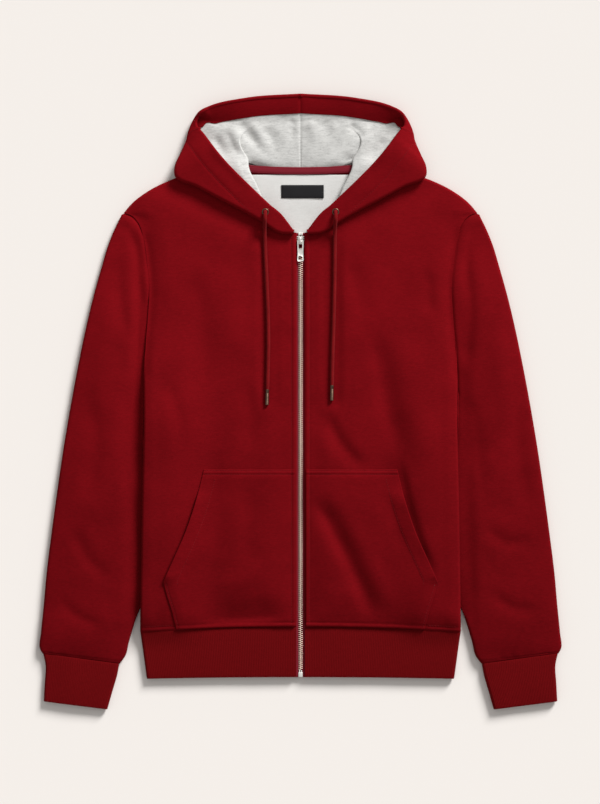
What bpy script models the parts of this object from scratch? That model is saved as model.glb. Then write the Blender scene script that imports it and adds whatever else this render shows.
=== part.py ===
# Zip-up hoodie lying flat on a surface, front up, hood open, sleeves beside the body.
# The surface is z = 0, +Y runs from the hem to the hood and +X is the right of the view from above.
# Sizes are in millimetres and become metres when a mesh is made.

import math

import bmesh
import bpy
import numpy as np
from mathutils import Matrix, Vector
from mathutils.bvhtree import BVHTree

MM = 0.001

# Cloth and gaps
FLEECE = 2.5
HOOD_SHELL = 2.4
RIB = 2.8
JERSEY = 1.1
TAPE = 0.9
SEAM_GAP = 0.3
STACK = 8.6          # height of two fleece walls that lie on each other
TUCK_CLEARANCE = 0.5
LIFT = STACK + TUCK_CLEARANCE   # the body's sides lie on the tucked sleeves

# Body
HEM_HALF = 224.0
HEM_SEAM_MIDDLE = -313.4
HEM_SEAM_DROP = 6.9
HEM_END_HALF = 215.0
HEM_END_MIDDLE = -383.6
HEM_END_DROP = 2.4
ZIP_EDGE = 6.0
FRONT_NECK_Y = 237.0
BACK_NECK_Y = 325.0
LIFT_TOP = (-3.0, -45.0)
LIFT_BOTTOM = (-292.0, -345.0)
LIFT_FULL_INSET = 36.0
LIFT_END_INSET = 110.0
CURL_ANGLES = (5.0, 16.0, 50.0, 90.0)
CURL_START_Y = -5.0
CURL_END_Y = 45.0
EDGE_STEP = 1.4      # between the first rows and columns of an edge that isn't curled
WAISTBAND_ROWS = (0.0, 0.45, 1.0)
WAISTBAND_FRACTIONS = (0.0, 0.25, 0.5, 0.62, 0.74, 0.87, 1.0)
WAISTBAND_ANGLES = (60.0, 20.0, -20.0, -60.0)

# side seam and armhole, from the hem to the shoulder point: x, y
SIDE_LINE = [
    (224.0, -320.3),
    (221.5, -160.0),
    (219.0, -2.0),
    (219.3, 20.0),
    (217.0, 76.0),
    (213.5, 119.0),
    (211.5, 163.0),
    (215.0, 199.0),
    (220.0, 232.0),
    (226.0, 250.0),
    (236.0, 261.0),
    (247.2, 264.8),
]

# shoulder seam, from the shoulder point to the neck point: x, y
SHOULDER_LINE = [
    (247.2, 264.8),
    (236.0, 278.0),
    (213.5, 295.0),
    (174.0, 313.7),
    (130.0, 326.0),
    (90.0, 335.0),
]

# neck edges, from the neck point to the middle: x, y
FRONT_NECK_LINE = [
    (90.0, 335.0),
    (85.5, 325.0),
    (80.0, 315.0),
    (72.0, 302.0),
    (61.0, 284.0),
    (46.0, 266.5),
    (27.0, 244.0),
    (6.0, 237.0),
]
BACK_NECK_LINE = [(90.0, 335.0), (60.0, 328.5), (30.0, 325.7), (0.0, BACK_NECK_Y)]

PANEL_ROWS_Y = (-292.0, -270.0, -220.0, -160.0, -100.0, -45.0, -24.0, -3.0, 20.0, 60.0,
                110.0, 160.0, 205.0, 240.0, 258.0)
PANEL_INSETS = (20.0, 36.0, 50.0, 64.0, 80.0, 95.0)
PANEL_FRACTIONS = (0.52, 0.76, 1.0)
SHOULDER_FRACTION = PANEL_FRACTIONS[0]
SHOULDER_MARGIN = 0.06   # the curl ends this much before the neck point

# outer edge of the sleeve, from the shoulder point to the cuff seam: x, y
SLEEVE_OUTER_LINE = [
    (248.0, 264.2),
    (262.5, 236.0),
    (276.5, 194.0),
    (287.7, 155.0),
    (297.5, 115.5),
    (306.0, 76.0),
    (321.0, -2.0),
    (334.0, -80.5),
    (345.0, -159.0),
    (355.0, -237.0),
    (362.0, -316.0),
    (364.7, -343.0),
    (361.0, -350.0),
]

SLEEVE_FIRST_OUTER = (252.2, 256.8)
SLEEVE_FRACTIONS = (0.7, 0.35)
OUTER_FOLD_ANGLES = (90.0, 30.0, -30.0, -90.0)
INNER_FOLD_ANGLES = (25.0, 90.0)
SEAM_STEP = 0.002    # share of the armhole line over which its direction is read

# sleeve rows along the armhole: height on the armhole, height on the outer edge
ARMHOLE_ROWS = [(258.0, 246.0), (240.0, 224.0), (205.0, 190.0), (160.0, 146.0),
                (110.0, 98.0), (60.0, 52.0), (20.0, 18.0)]

# sleeve rows below the underarm: inner x, inner y, height on the outer edge
SLEEVE_ROWS = [
    (220.0, 8.0, 5.0),
    (219.9, -10.0, -12.0),
    (220.2, -30.0, -32.0),
    (220.6, -48.0, -50.0),
    (213.0, -75.0, -76.0),
    (192.0, -125.0, -120.0),
    (190.0, -190.0, -182.0),
    (206.0, -250.0, -240.0),
    (227.0, -294.0, -284.0),
    (240.0, -335.0, -322.0),
    (245.5, -355.0, -343.0),
    (252.6, -364.6, -350.0),
]

# cuff rows: outer x, outer y, inner x, inner y
CUFF_ROWS = [
    (360.2, -350.6, 253.4, -365.2),
    (357.0, -365.0, 255.6, -378.0),
    (358.0, -392.0, 263.0, -404.0),
    (359.4, -417.5, 270.0, -428.8),
]

# pocket rows: height, x of the outer outline
POCKET_ROWS = [
    (-318.6, 173.3),
    (-292.0, 179.2),
    (-270.0, 186.0),
    (-250.0, 191.4),
    (-218.0, 177.0),
    (-179.0, 160.0),
    (-135.0, 145.5),
    (-93.5, 135.2),
]
POCKET_FRACTIONS = (0.0, 0.3, 0.55, 0.64, 0.72, 0.8, 0.88, 0.95, 1.0)
POCKET_INNER_X = 8.0
POCKET_GAP = 0.75

# hood rows, from the front of the neck round to the crown. Each runs from the neck seam out to
# the fold and back to the rim: neck x, y, z; fold x, y; rim x, y; height of the underside;
# radius of the fold; turn in degrees; length past the fold, or 0 where the rim point gives it
HOOD_ROWS = [
    (8.6, 241.8, 10.2, 15.0, 235.8, 9.5, 240.6, 9.0, 3.3, 180.0, 0.0),
    (28.9, 245.5, 10.2, 29.5, 235.9, 25.4, 260.9, 9.0, 3.3, 180.0, 0.0),
    (48.5, 269.0, 10.2, 58.5, 259.3, 43.0, 276.5, 9.0, 3.6, 180.0, 0.0),
    (63.0, 286.0, 10.2, 84.0, 272.3, 60.8, 293.4, 9.0, 4.0, 180.0, 0.0),
    (74.0, 304.0, 10.2, 110.0, 285.3, 82.0, 314.0, 9.0, 4.4, 180.0, 0.0),
    (82.0, 317.5, 10.2, 145.0, 303.0, 103.6, 336.3, 9.0, 4.4, 180.0, 0.0),
    (87.5, 328.0, 10.3, 176.5, 316.5, 120.0, 356.0, 9.0, 4.4, 180.0, 0.0),
    (91.5, 336.5, 10.3, 175.0, 330.0, 127.5, 366.0, 7.8, 4.4, 180.0, 0.0),
    (87.0, 340.5, 6.4, 169.0, 344.0, 134.0, 375.0, 4.0, 4.4, 178.0, 0.0),
    (77.0, 337.0, 3.0, 160.0, 366.0, 139.7, 383.0, 0.5, 4.6, 172.0, 0.0),
    (65.0, 333.0, 1.5, 153.5, 388.0, 141.0, 392.0, 0.0, 4.8, 130.0, 10.0),
    (52.0, 329.8, 1.2, 145.5, 404.0, 138.0, 396.0, 0.0, 7.0, 75.0, 9.0),
    (38.0, 327.8, 1.2, 128.0, 413.5, 117.0, 390.0, 0.0, 12.0, 36.0, 20.0),
    (22.0, 326.3, 1.2, 75.0, 425.6, 70.0, 399.0, 0.0, 18.0, 22.0, 32.0),
    (0.2, 325.6, 1.2, 0.2, 431.6, 0.2, 405.0, 0.0, 20.0, 20.0, 34.0),
]
FACING_WIDTH = 28.0
FACING_SHARE = 0.8   # of the cloth past the fold, where that is too short for the whole width
UNDER_SHARES = (0.33, 0.68)
FOLD_SHARES = (0.0, 0.25, 0.5, 0.75, 1.0)

# Inside of the neck
BACK_FACING_HALF = 80.0
BACK_FACING_TOP = 318.5
BACK_FACING_DEPTH = 85.5
BACK_FACING_ROWS = (0.0, 0.25, 0.5, 0.7, 0.85, 0.96)
NECK_TAPE_WIDTH = 10.0
NECK_TAPE_HALF = 83.0
NECK_TAPE_MIDDLE_Y = 324.0
NECK_TAPE_RISE = 3.8
LABEL_SIZE = (59.5, 18.4)
LABEL_CENTRE = (2.8, 294.9)

# Zip
ZIP_LEVEL = 5.35
CHAIN_WIDTH = 6.0
CHAIN_HEIGHT = 2.6
ZIP_BOTTOM = -383.6
BOX_LENGTH = 9.6
ZIP_TAPE_INNER = 3.3
ZIP_TAPE_OUTER = 16.0
ZIP_TAPE_TOP = 237.0
ZIP_TAPE_BELOW = 0.6     # past the foot of the box
BOX_EXTRA = 0.2          # the box is this much higher than the teeth, on each face
STOP_INNER = 0.6
STOP_START = 0.6         # above the slider
STOP_END = 4.0
STOP_HALF_HEIGHT = 1.1
SLIDER_LOW = 220.0
SLIDER_LENGTH = 13.0
SLIDER_WIDTH = 9.0
PLATE = 1.0
PLATE_SPACE = 2.5
WEB_HALF = 1.0           # between the slider's plates
BRIDGE_HALF = 1.2
PULL_AXIS_Y = 226.5
PULL_AXIS_UP = 1.05
PULL_THICKNESS = 1.2
PULL_WIDTH = 8.4
PULL_END_Y = 197.4
PULL_EYE = (4.2, 9.0)
PULL_WINDOW = (4.8, 4.2)
PULL_WINDOW_Y = 202.3

# Eyelets and drawcords
EYELET_XY = (49.0, 265.7)
EYELET_OUTER = 5.7
EYELET_HOLE = 3.5
EYELET_HEIGHT = 0.8
CORD_DIAMETER = 5.5
TIP_LENGTH = 20.0
TIP_DIAMETER = 4.8

# drawcord routes, from the eyelet to the tip, chosen by hand: x, y, z
CORD_ROUTES = {
    "left": [
        (-49.0, 265.7, 21.0),
        (-49.2, 262.0, 23.6),
        (-49.5, 256.5, 24.2),
        (-49.9, 250.0, 21.0),
        (-50.1, 243.5, 16.6),
        (-50.0, 236.0, 13.2),
        (-49.7, 226.0, 11.8),
        (-49.0, 205.0, 11.7),
        (-47.4, 170.0, 11.7),
        (-45.8, 130.0, 11.7),
        (-45.0, 90.0, 11.7),
        (-45.6, 50.0, 11.7),
        (-46.4, 17.6, 11.7),
    ],
    "right": [
        (49.0, 265.7, 21.0),
        (49.0, 262.0, 23.6),
        (48.8, 256.5, 24.2),
        (48.5, 250.0, 21.0),
        (48.2, 243.5, 16.6),
        (48.0, 236.0, 13.2),
        (47.9, 226.0, 11.8),
        (47.8, 205.0, 11.7),
        (47.4, 170.0, 11.7),
        (46.6, 130.0, 11.7),
        (45.4, 90.0, 11.7),
        (44.4, 55.0, 11.7),
        (43.9, 23.6, 11.7),
    ],
}
CORD_POINTS = 34

# Finishes: colour, roughness, metallic
FINISHES = {
    "fleece": ((0.17, 0.006, 0.010), 0.95, 0.0),
    "rib": ((0.13, 0.005, 0.009), 0.95, 0.0),
    "jersey": ((0.56, 0.55, 0.53), 0.95, 0.0),
    "cord": ((0.16, 0.008, 0.012), 0.9, 0.0),
    "tape": ((0.20, 0.010, 0.020), 0.9, 0.0),
    "label": ((0.02, 0.02, 0.02), 0.7, 0.0),
    "brass": ((0.42, 0.24, 0.16), 0.4, 1.0),
    "nickel": ((0.62, 0.60, 0.57), 0.3, 1.0),
    "antique": ((0.22, 0.15, 0.10), 0.4, 1.0),
}


# ---- small mathematics ----

def ease(value):
    value = min(max(value, 0.0), 1.0)
    return value * value * (3.0 - 2.0 * value)


def smooth_route(points, samples=16):
    """Points on a smooth curve through the given ones, with their fractions of its length."""
    points = np.array(points, float)
    chord = np.concatenate([[0.0], np.cumsum(np.linalg.norm(np.diff(points, axis=0), axis=1))])
    slope = np.gradient(points, chord, axis=0)
    curve = []
    for k in range(len(points) - 1):
        span = chord[k + 1] - chord[k]
        for t in np.linspace(0.0, 1.0, samples, endpoint=False):
            curve.append((2 * t**3 - 3 * t**2 + 1) * points[k] + (t**3 - 2 * t**2 + t) * span * slope[k]
                         + (3 * t**2 - 2 * t**3) * points[k + 1] + (t**3 - t**2) * span * slope[k + 1])
    curve = np.array(curve + [points[-1]])
    length = np.concatenate([[0.0], np.cumsum(np.linalg.norm(np.diff(curve, axis=0), axis=1))])
    return curve, length / length[-1]


class Line:
    """A smooth line read by its fraction from 0 to 1."""

    def __init__(self, points):
        self.curve, self.fraction = smooth_route(points)

    def at(self, fraction):
        return np.array([np.interp(fraction, self.fraction, axis) for axis in self.curve.T])

    def fraction_at_y(self, y):
        heights = self.curve[:, 1]
        if heights[0] > heights[-1]:
            return float(np.interp(-y, -heights, self.fraction))
        return float(np.interp(y, heights, self.fraction))


def grid_normals(grid, wrap=False):
    """Unit normals of a grid of points, rows by columns."""
    if wrap:
        across = np.roll(grid, -1, axis=1) - np.roll(grid, 1, axis=1)
    else:
        across = np.gradient(grid, axis=1)
    along = np.gradient(grid, axis=0)
    normals = np.cross(along, across)
    return normals / np.linalg.norm(normals, axis=2, keepdims=True)


# ---- making objects ----

def finish_material(finish):
    material = bpy.data.materials.get(finish)
    if material is None:
        colour, roughness, metallic = FINISHES[finish]
        material = bpy.data.materials.new(finish)
        material.use_nodes = True
        shader = material.node_tree.nodes["Principled BSDF"]
        shader.inputs["Base Color"].default_value = (*colour, 1.0)
        shader.inputs["Roughness"].default_value = roughness
        shader.inputs["Metallic"].default_value = metallic
    return material


def add_object(name, bm, finish, smooth=True):
    """Turn a bmesh in millimetres into a named object in metres."""
    bmesh.ops.recalc_face_normals(bm, faces=bm.faces)
    bmesh.ops.scale(bm, vec=(MM, MM, MM), verts=bm.verts)
    mesh = bpy.data.meshes.new(name)
    bm.to_mesh(mesh)
    bm.free()
    if smooth:
        mesh.shade_smooth()
        mesh.set_sharp_from_angle(angle=math.radians(40.0))
    mesh.materials.append(finish_material(finish))
    thing = bpy.data.objects.new(name, mesh)
    bpy.context.scene.collection.objects.link(thing)
    return thing


def wall(name, grid, normals, low, high, finish, closed_from=None):
    """A closed wall between two offsets of a grid. From the row closed_from on, its columns join up."""
    rows, columns = grid.shape[:2]
    triangles = []
    for i in range(rows - 1):
        joined = closed_from is not None and i >= closed_from
        for j in range(columns if joined else columns - 1):
            k = (j + 1) % columns
            corners = [i * columns + j, (i + 1) * columns + j, (i + 1) * columns + k, i * columns + k]
            triangles.append((corners[0], corners[1], corners[2]))
            triangles.append((corners[0], corners[2], corners[3]))
    bm = bmesh.new()
    lower = [bm.verts.new(point) for point in (grid + normals * low).reshape(-1, 3)]
    upper = [bm.verts.new(point) for point in (grid + normals * high).reshape(-1, 3)]
    edges = {}
    for triangle in triangles:
        bm.faces.new([upper[index] for index in triangle])
        bm.faces.new([lower[index] for index in reversed(triangle)])
        for a, b in zip(triangle, triangle[1:] + triangle[:1]):
            edges[(a, b)] = edges.get((a, b), 0) + 1
    for a, b in edges:
        if (b, a) not in edges:
            bm.faces.new([upper[b], upper[a], lower[a], lower[b]])
    return add_object(name, bm, finish)


def block(name, low, high, finish):
    """A rectangular bar between two corners."""
    bm = bmesh.new()
    bmesh.ops.create_cube(bm, size=1.0)
    size = Vector(high) - Vector(low)
    bmesh.ops.scale(bm, vec=size, verts=bm.verts)
    bmesh.ops.translate(bm, vec=(Vector(high) + Vector(low)) / 2, verts=bm.verts)
    return add_object(name, bm, finish, smooth=False)


def prism(name, outline, axis, start, end, finish):
    """An outline pushed along x or y from start to end."""
    bm = bmesh.new()
    if axis == "x":
        verts = [bm.verts.new((start, a, b)) for a, b in outline]
        push = (end - start, 0.0, 0.0)
    else:
        verts = [bm.verts.new((a, start, b)) for a, b in outline]
        push = (0.0, end - start, 0.0)
    face = bm.faces.new(verts)
    made = bmesh.ops.extrude_face_region(bm, geom=[face])
    moved = [item for item in made["geom"] if isinstance(item, bmesh.types.BMVert)]
    bmesh.ops.translate(bm, vec=push, verts=moved)
    return add_object(name, bm, finish, smooth=False)


def boolean(thing, cutter, operation):
    cutter.hide_render = True
    cutter.display_type = "WIRE"
    modifier = thing.modifiers.new(operation.title(), "BOOLEAN")
    modifier.operation = operation
    modifier.object = cutter


# ---- the body's form ----

SIDES = (("left", -1.0), ("right", 1.0))
CURL_RADIUS = (STACK - FLEECE) / 2
MIDDLE_LEVEL = STACK / 2
side_line = Line(SIDE_LINE)
shoulder_line = Line(SHOULDER_LINE)
sleeve_outer_line = Line(SLEEVE_OUTER_LINE)


def side_x(y):
    """Half width of the body below the underarm."""
    if y < SIDE_LINE[0][1]:
        share = (SIDE_LINE[0][1] - y) / (SIDE_LINE[0][1] - HEM_END_MIDDLE + HEM_END_DROP)
        return HEM_HALF + (HEM_END_HALF - HEM_HALF) * share
    return side_line.at(side_line.fraction_at_y(y))[0]


def lift(x, y):
    """How far the body lies above its own level, over the sleeve that is tucked under it."""
    along = ease((LIFT_TOP[0] - y) / (LIFT_TOP[0] - LIFT_TOP[1]))
    along *= ease((y - LIFT_BOTTOM[1]) / (LIFT_BOTTOM[0] - LIFT_BOTTOM[1]))
    if along == 0.0:
        return 0.0
    inset = side_x(y) - abs(x)
    return LIFT * along * (1.0 - ease((inset - LIFT_FULL_INSET) / (LIFT_END_INSET - LIFT_FULL_INSET)))


def curl(angle, thickness, radius):
    """Inset from the fold and height above its middle, of the middle of the wall."""
    turn = math.radians(angle)
    return thickness / 2 + radius * (1.0 - math.cos(turn)), radius * math.sin(turn)


def hem_seam_y(x):
    return HEM_SEAM_MIDDLE - HEM_SEAM_DROP * (x / HEM_HALF) ** 2


def panel_half(neck_points, middle_x, neck_y, upper):
    """Right half of a body panel: a grid with rows from the hem to the shoulder."""
    neck_line = Line(neck_points)

    def top(u):
        if u < SHOULDER_FRACTION:
            return shoulder_line.at(u / SHOULDER_FRACTION)
        return neck_line.at((u - SHOULDER_FRACTION) / (1.0 - SHOULDER_FRACTION))

    def bottom(u):
        x = HEM_HALF + (middle_x - HEM_HALF) * u
        return np.array([x, hem_seam_y(x)])

    def middle(v):
        low = hem_seam_y(middle_x)
        return np.array([middle_x, low + (neck_y - low) * v])

    def patch(u, v):
        return ((1 - v) * bottom(u) + v * top(u) + (1 - u) * side_line.at(v) + u * middle(v)
                - (1 - u) * (1 - v) * bottom(0) - u * (1 - v) * bottom(1)
                - (1 - u) * v * top(0) - u * v * top(1))

    height = middle(1.0)[1] - middle(0.0)[1]
    rows = [0.0] + [side_line.fraction_at_y(y) for y in PANEL_ROWS_Y]
    rows = [(v, None) for v in rows] + [(1.0, angle) for angle in reversed(CURL_ANGLES)]
    columns = [("curl", angle) for angle in CURL_ANGLES]
    columns += [("inset", inset) for inset in PANEL_INSETS]
    columns += [("fraction", fraction) for fraction in PANEL_FRACTIONS]
    grid = []
    for v, row_angle in rows:
        line = []
        side_y = side_line.at(v)[1]
        side_curl = 1.0 - ease((side_y - CURL_START_Y) / (CURL_END_Y - CURL_START_Y))
        width = side_line.at(v)[0] - middle_x
        for j, (kind, value) in enumerate(columns):
            side_share = 1.0
            if kind == "curl":
                inset, rise = curl(value, FLEECE, CURL_RADIUS)
                inset = side_curl * inset + (1.0 - side_curl) * EDGE_STEP * j
                side_share = 1.0 - side_curl * (1.0 - rise / CURL_RADIUS)
                u = inset / width
            elif kind == "inset":
                u = value / width
            else:
                u = value
            top_share = 1.0
            down = 0.0
            if row_angle is not None:
                shoulder = 1.0 if u < SHOULDER_FRACTION - SHOULDER_MARGIN else 0.0
                inset, rise = curl(row_angle, FLEECE, CURL_RADIUS)
                spaced = EDGE_STEP * CURL_ANGLES.index(row_angle)
                down = (shoulder * inset + (1.0 - shoulder) * spaced) / height
                top_share = 1.0 - shoulder * (1.0 - rise / CURL_RADIUS)
            x, y = patch(u, v - down)
            level = MIDDLE_LEVEL + upper * CURL_RADIUS * min(side_share, top_share)
            line.append((x, y, level + lift(x, y)))
        grid.append(line)
    return np.array(grid)


def flip(grid):
    return grid * np.array([-1.0, 1.0, 1.0])


def make_back():
    half = panel_half(BACK_NECK_LINE, 0.0, BACK_NECK_Y, -1.0)
    grid = np.concatenate([half, flip(half[:, -2::-1])], axis=1)
    wall("back", grid, grid_normals(grid), -FLEECE / 2, FLEECE / 2, "fleece")


def make_fronts():
    half = panel_half(FRONT_NECK_LINE, ZIP_EDGE, FRONT_NECK_Y, 1.0)
    for side, sign in SIDES:
        grid = half if sign > 0 else flip(half)
        wall("front_" + side, grid, grid_normals(grid), -FLEECE / 2, FLEECE / 2, "fleece")


def make_waistband():
    radius = (STACK - RIB) / 2
    fold = RIB / 2 + radius
    grid = []
    for share in WAISTBAND_ROWS:
        half_width = HEM_HALF + (HEM_END_HALF - HEM_HALF) * share
        points = []
        for fraction in WAISTBAND_FRACTIONS:
            points.append((ZIP_EDGE + (half_width - fold - ZIP_EDGE) * fraction, radius))
        for angle in WAISTBAND_ANGLES:
            inset, rise = curl(angle, RIB, radius)
            points.append((half_width - inset, rise))
        for fraction in reversed(WAISTBAND_FRACTIONS):
            points.append(((half_width - fold) * fraction, -radius))
        line = []
        for x, rise in points:
            seam = hem_seam_y(x) - SEAM_GAP
            end = HEM_END_MIDDLE - HEM_END_DROP * (x / half_width) ** 2
            y = seam + (end - seam) * share
            line.append((x, y, MIDDLE_LEVEL + rise + lift(x, y)))
        mirrored = [(-x, y, z) for x, y, z in line[-2::-1]]
        grid.append(line + mirrored)
    grid = np.array(grid)
    wall("waistband", grid, grid_normals(grid), -RIB / 2, RIB / 2, "rib")


# ---- sleeves and cuffs ----

def flat_tube_row(outer, inner, thickness, open_end=False):
    """Middle of a wall that runs round a tube lying flat, between two points of its edges."""
    outer = np.array(outer, float)
    inner = np.array(inner, float)
    length = np.linalg.norm(inner - outer)
    inward = (inner - outer) / length
    radius = (STACK - thickness) / 2
    fold = thickness / 2 + radius
    row = []

    def add(distance, rise):
        x, y = outer + inward * distance
        row.append((x, y, MIDDLE_LEVEL + rise))

    if open_end:
        add(length, radius)
        add(length - fold, radius)
    else:
        for angle in INNER_FOLD_ANGLES:
            inset, rise = curl(angle, thickness, radius)
            add(length - inset, rise)
    for fraction in SLEEVE_FRACTIONS:
        add(fold + (length - 2 * fold) * fraction, radius)
    for angle in OUTER_FOLD_ANGLES:
        inset, rise = curl(angle, thickness, radius)
        add(inset, rise)
    for fraction in reversed(SLEEVE_FRACTIONS):
        add(fold + (length - 2 * fold) * fraction, -radius)
    if open_end:
        add(length - fold, -radius)
        add(length, -radius)
    else:
        for angle in reversed(INNER_FOLD_ANGLES):
            inset, rise = curl(angle, thickness, radius)
            add(length - inset, -rise)
    return row


def armhole_point(fraction):
    """A point just outside the armhole seam."""
    ahead = side_line.at(min(fraction + SEAM_STEP, 1.0)) - side_line.at(fraction - SEAM_STEP)
    outward = np.array([ahead[1], -ahead[0]]) / np.linalg.norm(ahead)
    return side_line.at(fraction) + outward * SEAM_GAP


def make_sleeves():
    body_height = FRONT_NECK_Y - hem_seam_y(ZIP_EDGE)
    top_inset = curl(90.0, FLEECE, CURL_RADIUS)[0]
    rows = [flat_tube_row(SLEEVE_FIRST_OUTER, armhole_point(1.0 - top_inset / body_height), FLEECE, True)]
    for inner_y, outer_y in ARMHOLE_ROWS:
        outer = sleeve_outer_line.at(sleeve_outer_line.fraction_at_y(outer_y))
        inner = armhole_point(side_line.fraction_at_y(inner_y))
        rows.append(flat_tube_row(outer, inner, FLEECE, True))
    closed_from = len(rows)
    for inner_x, inner_y, outer_y in SLEEVE_ROWS:
        outer = sleeve_outer_line.at(sleeve_outer_line.fraction_at_y(outer_y))
        rows.append(flat_tube_row(outer, (inner_x, inner_y), FLEECE))
    half = np.array(rows)
    cuff = np.array([flat_tube_row(row[:2], row[2:], RIB) for row in CUFF_ROWS])
    for side, sign in SIDES:
        grid = half if sign > 0 else flip(half)
        normals = grid_normals(grid)
        wrapped = grid_normals(grid, wrap=True)
        normals[closed_from:] = wrapped[closed_from:]
        wall("sleeve_" + side, grid, normals, -FLEECE / 2, FLEECE / 2, "fleece", closed_from)
        grid = cuff if sign > 0 else flip(cuff)
        wall("cuff_" + side, grid, grid_normals(grid, wrap=True), -RIB / 2, RIB / 2, "rib", 0)


# ---- pockets ----

def height_reader(thing):
    """A function that gives the height of a made object's top, in millimetres."""
    tree = BVHTree.FromPolygons([v.co.copy() for v in thing.data.vertices],
                                [tuple(p.vertices) for p in thing.data.polygons])

    def height(x, y):
        hit = tree.ray_cast(Vector((x * MM, y * MM, 1.0)), Vector((0.0, 0.0, -1.0)))[0]
        return hit.z / MM

    return height


def make_pockets():
    for side, sign in SIDES:
        height = height_reader(bpy.data.objects["front_" + side])
        grid = []
        for row, (row_y, outer_x) in enumerate(POCKET_ROWS):
            line = []
            for fraction in POCKET_FRACTIONS:
                x = POCKET_INNER_X + (outer_x - POCKET_INNER_X) * fraction
                y = hem_seam_y(x) + 1.0 if row == 0 else row_y
                level = height(sign * x, y) + POCKET_GAP + FLEECE / 2
                line.append((sign * x, y, level))
            grid.append(line)
        grid = np.array(grid)
        wall("pocket_" + side, grid, grid_normals(grid), -FLEECE / 2, FLEECE / 2, "fleece")


# ---- hood ----

def hood_row(neck, fold, rim, base, radius, turn, over):
    """Middle of the hood's shell from the neck seam to the rim."""
    fold = np.array(fold)
    outward = fold - np.array(rim)
    reach_back = np.linalg.norm(outward)
    outward = outward / reach_back
    half = HOOD_SHELL / 2
    angle = math.radians(turn)
    if over == 0.0:
        over = reach_back - radius - half
    if turn >= 90.0:
        reach = radius + half
    else:
        reach = radius * math.sin(angle) + over * math.cos(angle)
    centre = fold - outward * reach
    level = base + half
    neck = np.array(neck)
    start = np.array([centre[0], centre[1], level])
    points = [neck] + [neck + (start - neck) * share for share in UNDER_SHARES]
    for share in FOLD_SHARES:
        part = angle * share
        plan = centre + outward * radius * math.sin(part)
        points.append(np.array([plan[0], plan[1], level + radius * (1.0 - math.cos(part))]))
    end = points[-1]
    direction = np.array([*(outward * math.cos(angle)), math.sin(angle)])
    facing = min(FACING_WIDTH, FACING_SHARE * over)
    for distance in ((over - facing) / 2, over - facing, over - facing / 2, over):
        points.append(end + direction * distance)
    return points


def make_hood():
    rows = []
    for row in HOOD_ROWS:
        rows.append(hood_row(row[0:3], row[3:5], row[5:7], *row[7:11]))
    half = np.array(rows)
    half[-1, :, 0] = SEAM_GAP
    normals = -grid_normals(half)
    normals[-1, :, 0] = 0.0
    normals /= np.linalg.norm(normals, axis=2, keepdims=True)
    shell = HOOD_SHELL / 2
    lining_low = shell + SEAM_GAP
    lining_high = lining_low + JERSEY
    split = half.shape[1] - 3
    lining = half[:, :split + 1].copy()
    back_step = lining[:, -2] - lining[:, -1]
    lining[:, -1] += back_step / np.linalg.norm(back_step, axis=1, keepdims=True) * SEAM_GAP
    for side, sign in SIDES:
        turned = np.array([sign, 1.0, 1.0])
        wall("hood_" + side, half * turned, normals * turned, -shell, shell, "fleece")
        wall("hood_lining_" + side, lining[1:] * turned, normals[1:, :split + 1] * turned,
             lining_low, lining_high, "jersey")
        wall("hood_facing_" + side, half[1:, split:] * turned, normals[1:, split:] * turned,
             lining_low, lining_high, "fleece")


# ---- inside of the neck ----

def make_neck():
    level = FLEECE + SEAM_GAP + JERSEY / 2
    grid = []
    for share in BACK_FACING_ROWS:
        half = BACK_FACING_HALF * math.sqrt(1.0 - share * share)
        y = BACK_FACING_TOP - BACK_FACING_DEPTH * share
        grid.append([(half * place, y, level) for place in np.linspace(-1.0, 1.0, 7)])
    grid = np.array(grid)
    wall("back_facing", grid, grid_normals(grid), -JERSEY / 2, JERSEY / 2, "jersey")
    level = FLEECE + JERSEY + 2 * SEAM_GAP + TAPE / 2
    grid = []
    for edge in (-0.5, 0.5):
        line = []
        for place in np.linspace(-1.0, 1.0, 9):
            x = NECK_TAPE_HALF * place
            y = NECK_TAPE_MIDDLE_Y + NECK_TAPE_RISE * place * place + NECK_TAPE_WIDTH * edge
            line.append((x, y, level))
        grid.append(line)
    grid = np.array(grid)
    wall("neck_tape", grid, grid_normals(grid), -TAPE / 2, TAPE / 2, "tape")
    width, height = LABEL_SIZE
    x, y = LABEL_CENTRE
    block("neck_label", (x - width / 2, y - height / 2, level - TAPE / 2),
          (x + width / 2, y + height / 2, level + TAPE / 2), "label")


# ---- zip ----

def make_zip():
    low = ZIP_LEVEL - CHAIN_HEIGHT / 2
    high = ZIP_LEVEL + CHAIN_HEIGHT / 2
    half = CHAIN_WIDTH / 2
    box_top = ZIP_BOTTOM + BOX_LENGTH
    block("zip_chain", (-half, box_top + SEAM_GAP, low), (half, SLIDER_LOW - SEAM_GAP, high), "brass")
    block("zip_box", (-half, ZIP_BOTTOM, low - BOX_EXTRA), (half, box_top, high + BOX_EXTRA), "nickel")
    slider_top = SLIDER_LOW + SLIDER_LENGTH
    for side, sign in SIDES:
        edges = sorted((sign * ZIP_TAPE_INNER, sign * ZIP_TAPE_OUTER))
        block("zip_tape_" + side, (edges[0], ZIP_BOTTOM - ZIP_TAPE_BELOW, ZIP_LEVEL - TAPE / 2),
              (edges[1], ZIP_TAPE_TOP, ZIP_LEVEL + TAPE / 2), "tape")
        edges = sorted((sign * STOP_INNER, sign * (ZIP_TAPE_INNER - SEAM_GAP)))
        block("zip_stop_" + side, (edges[0], slider_top + STOP_START, ZIP_LEVEL - STOP_HALF_HEIGHT),
              (edges[1], slider_top + STOP_END, ZIP_LEVEL + STOP_HALF_HEIGHT), "brass")
    make_slider(slider_top)


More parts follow.
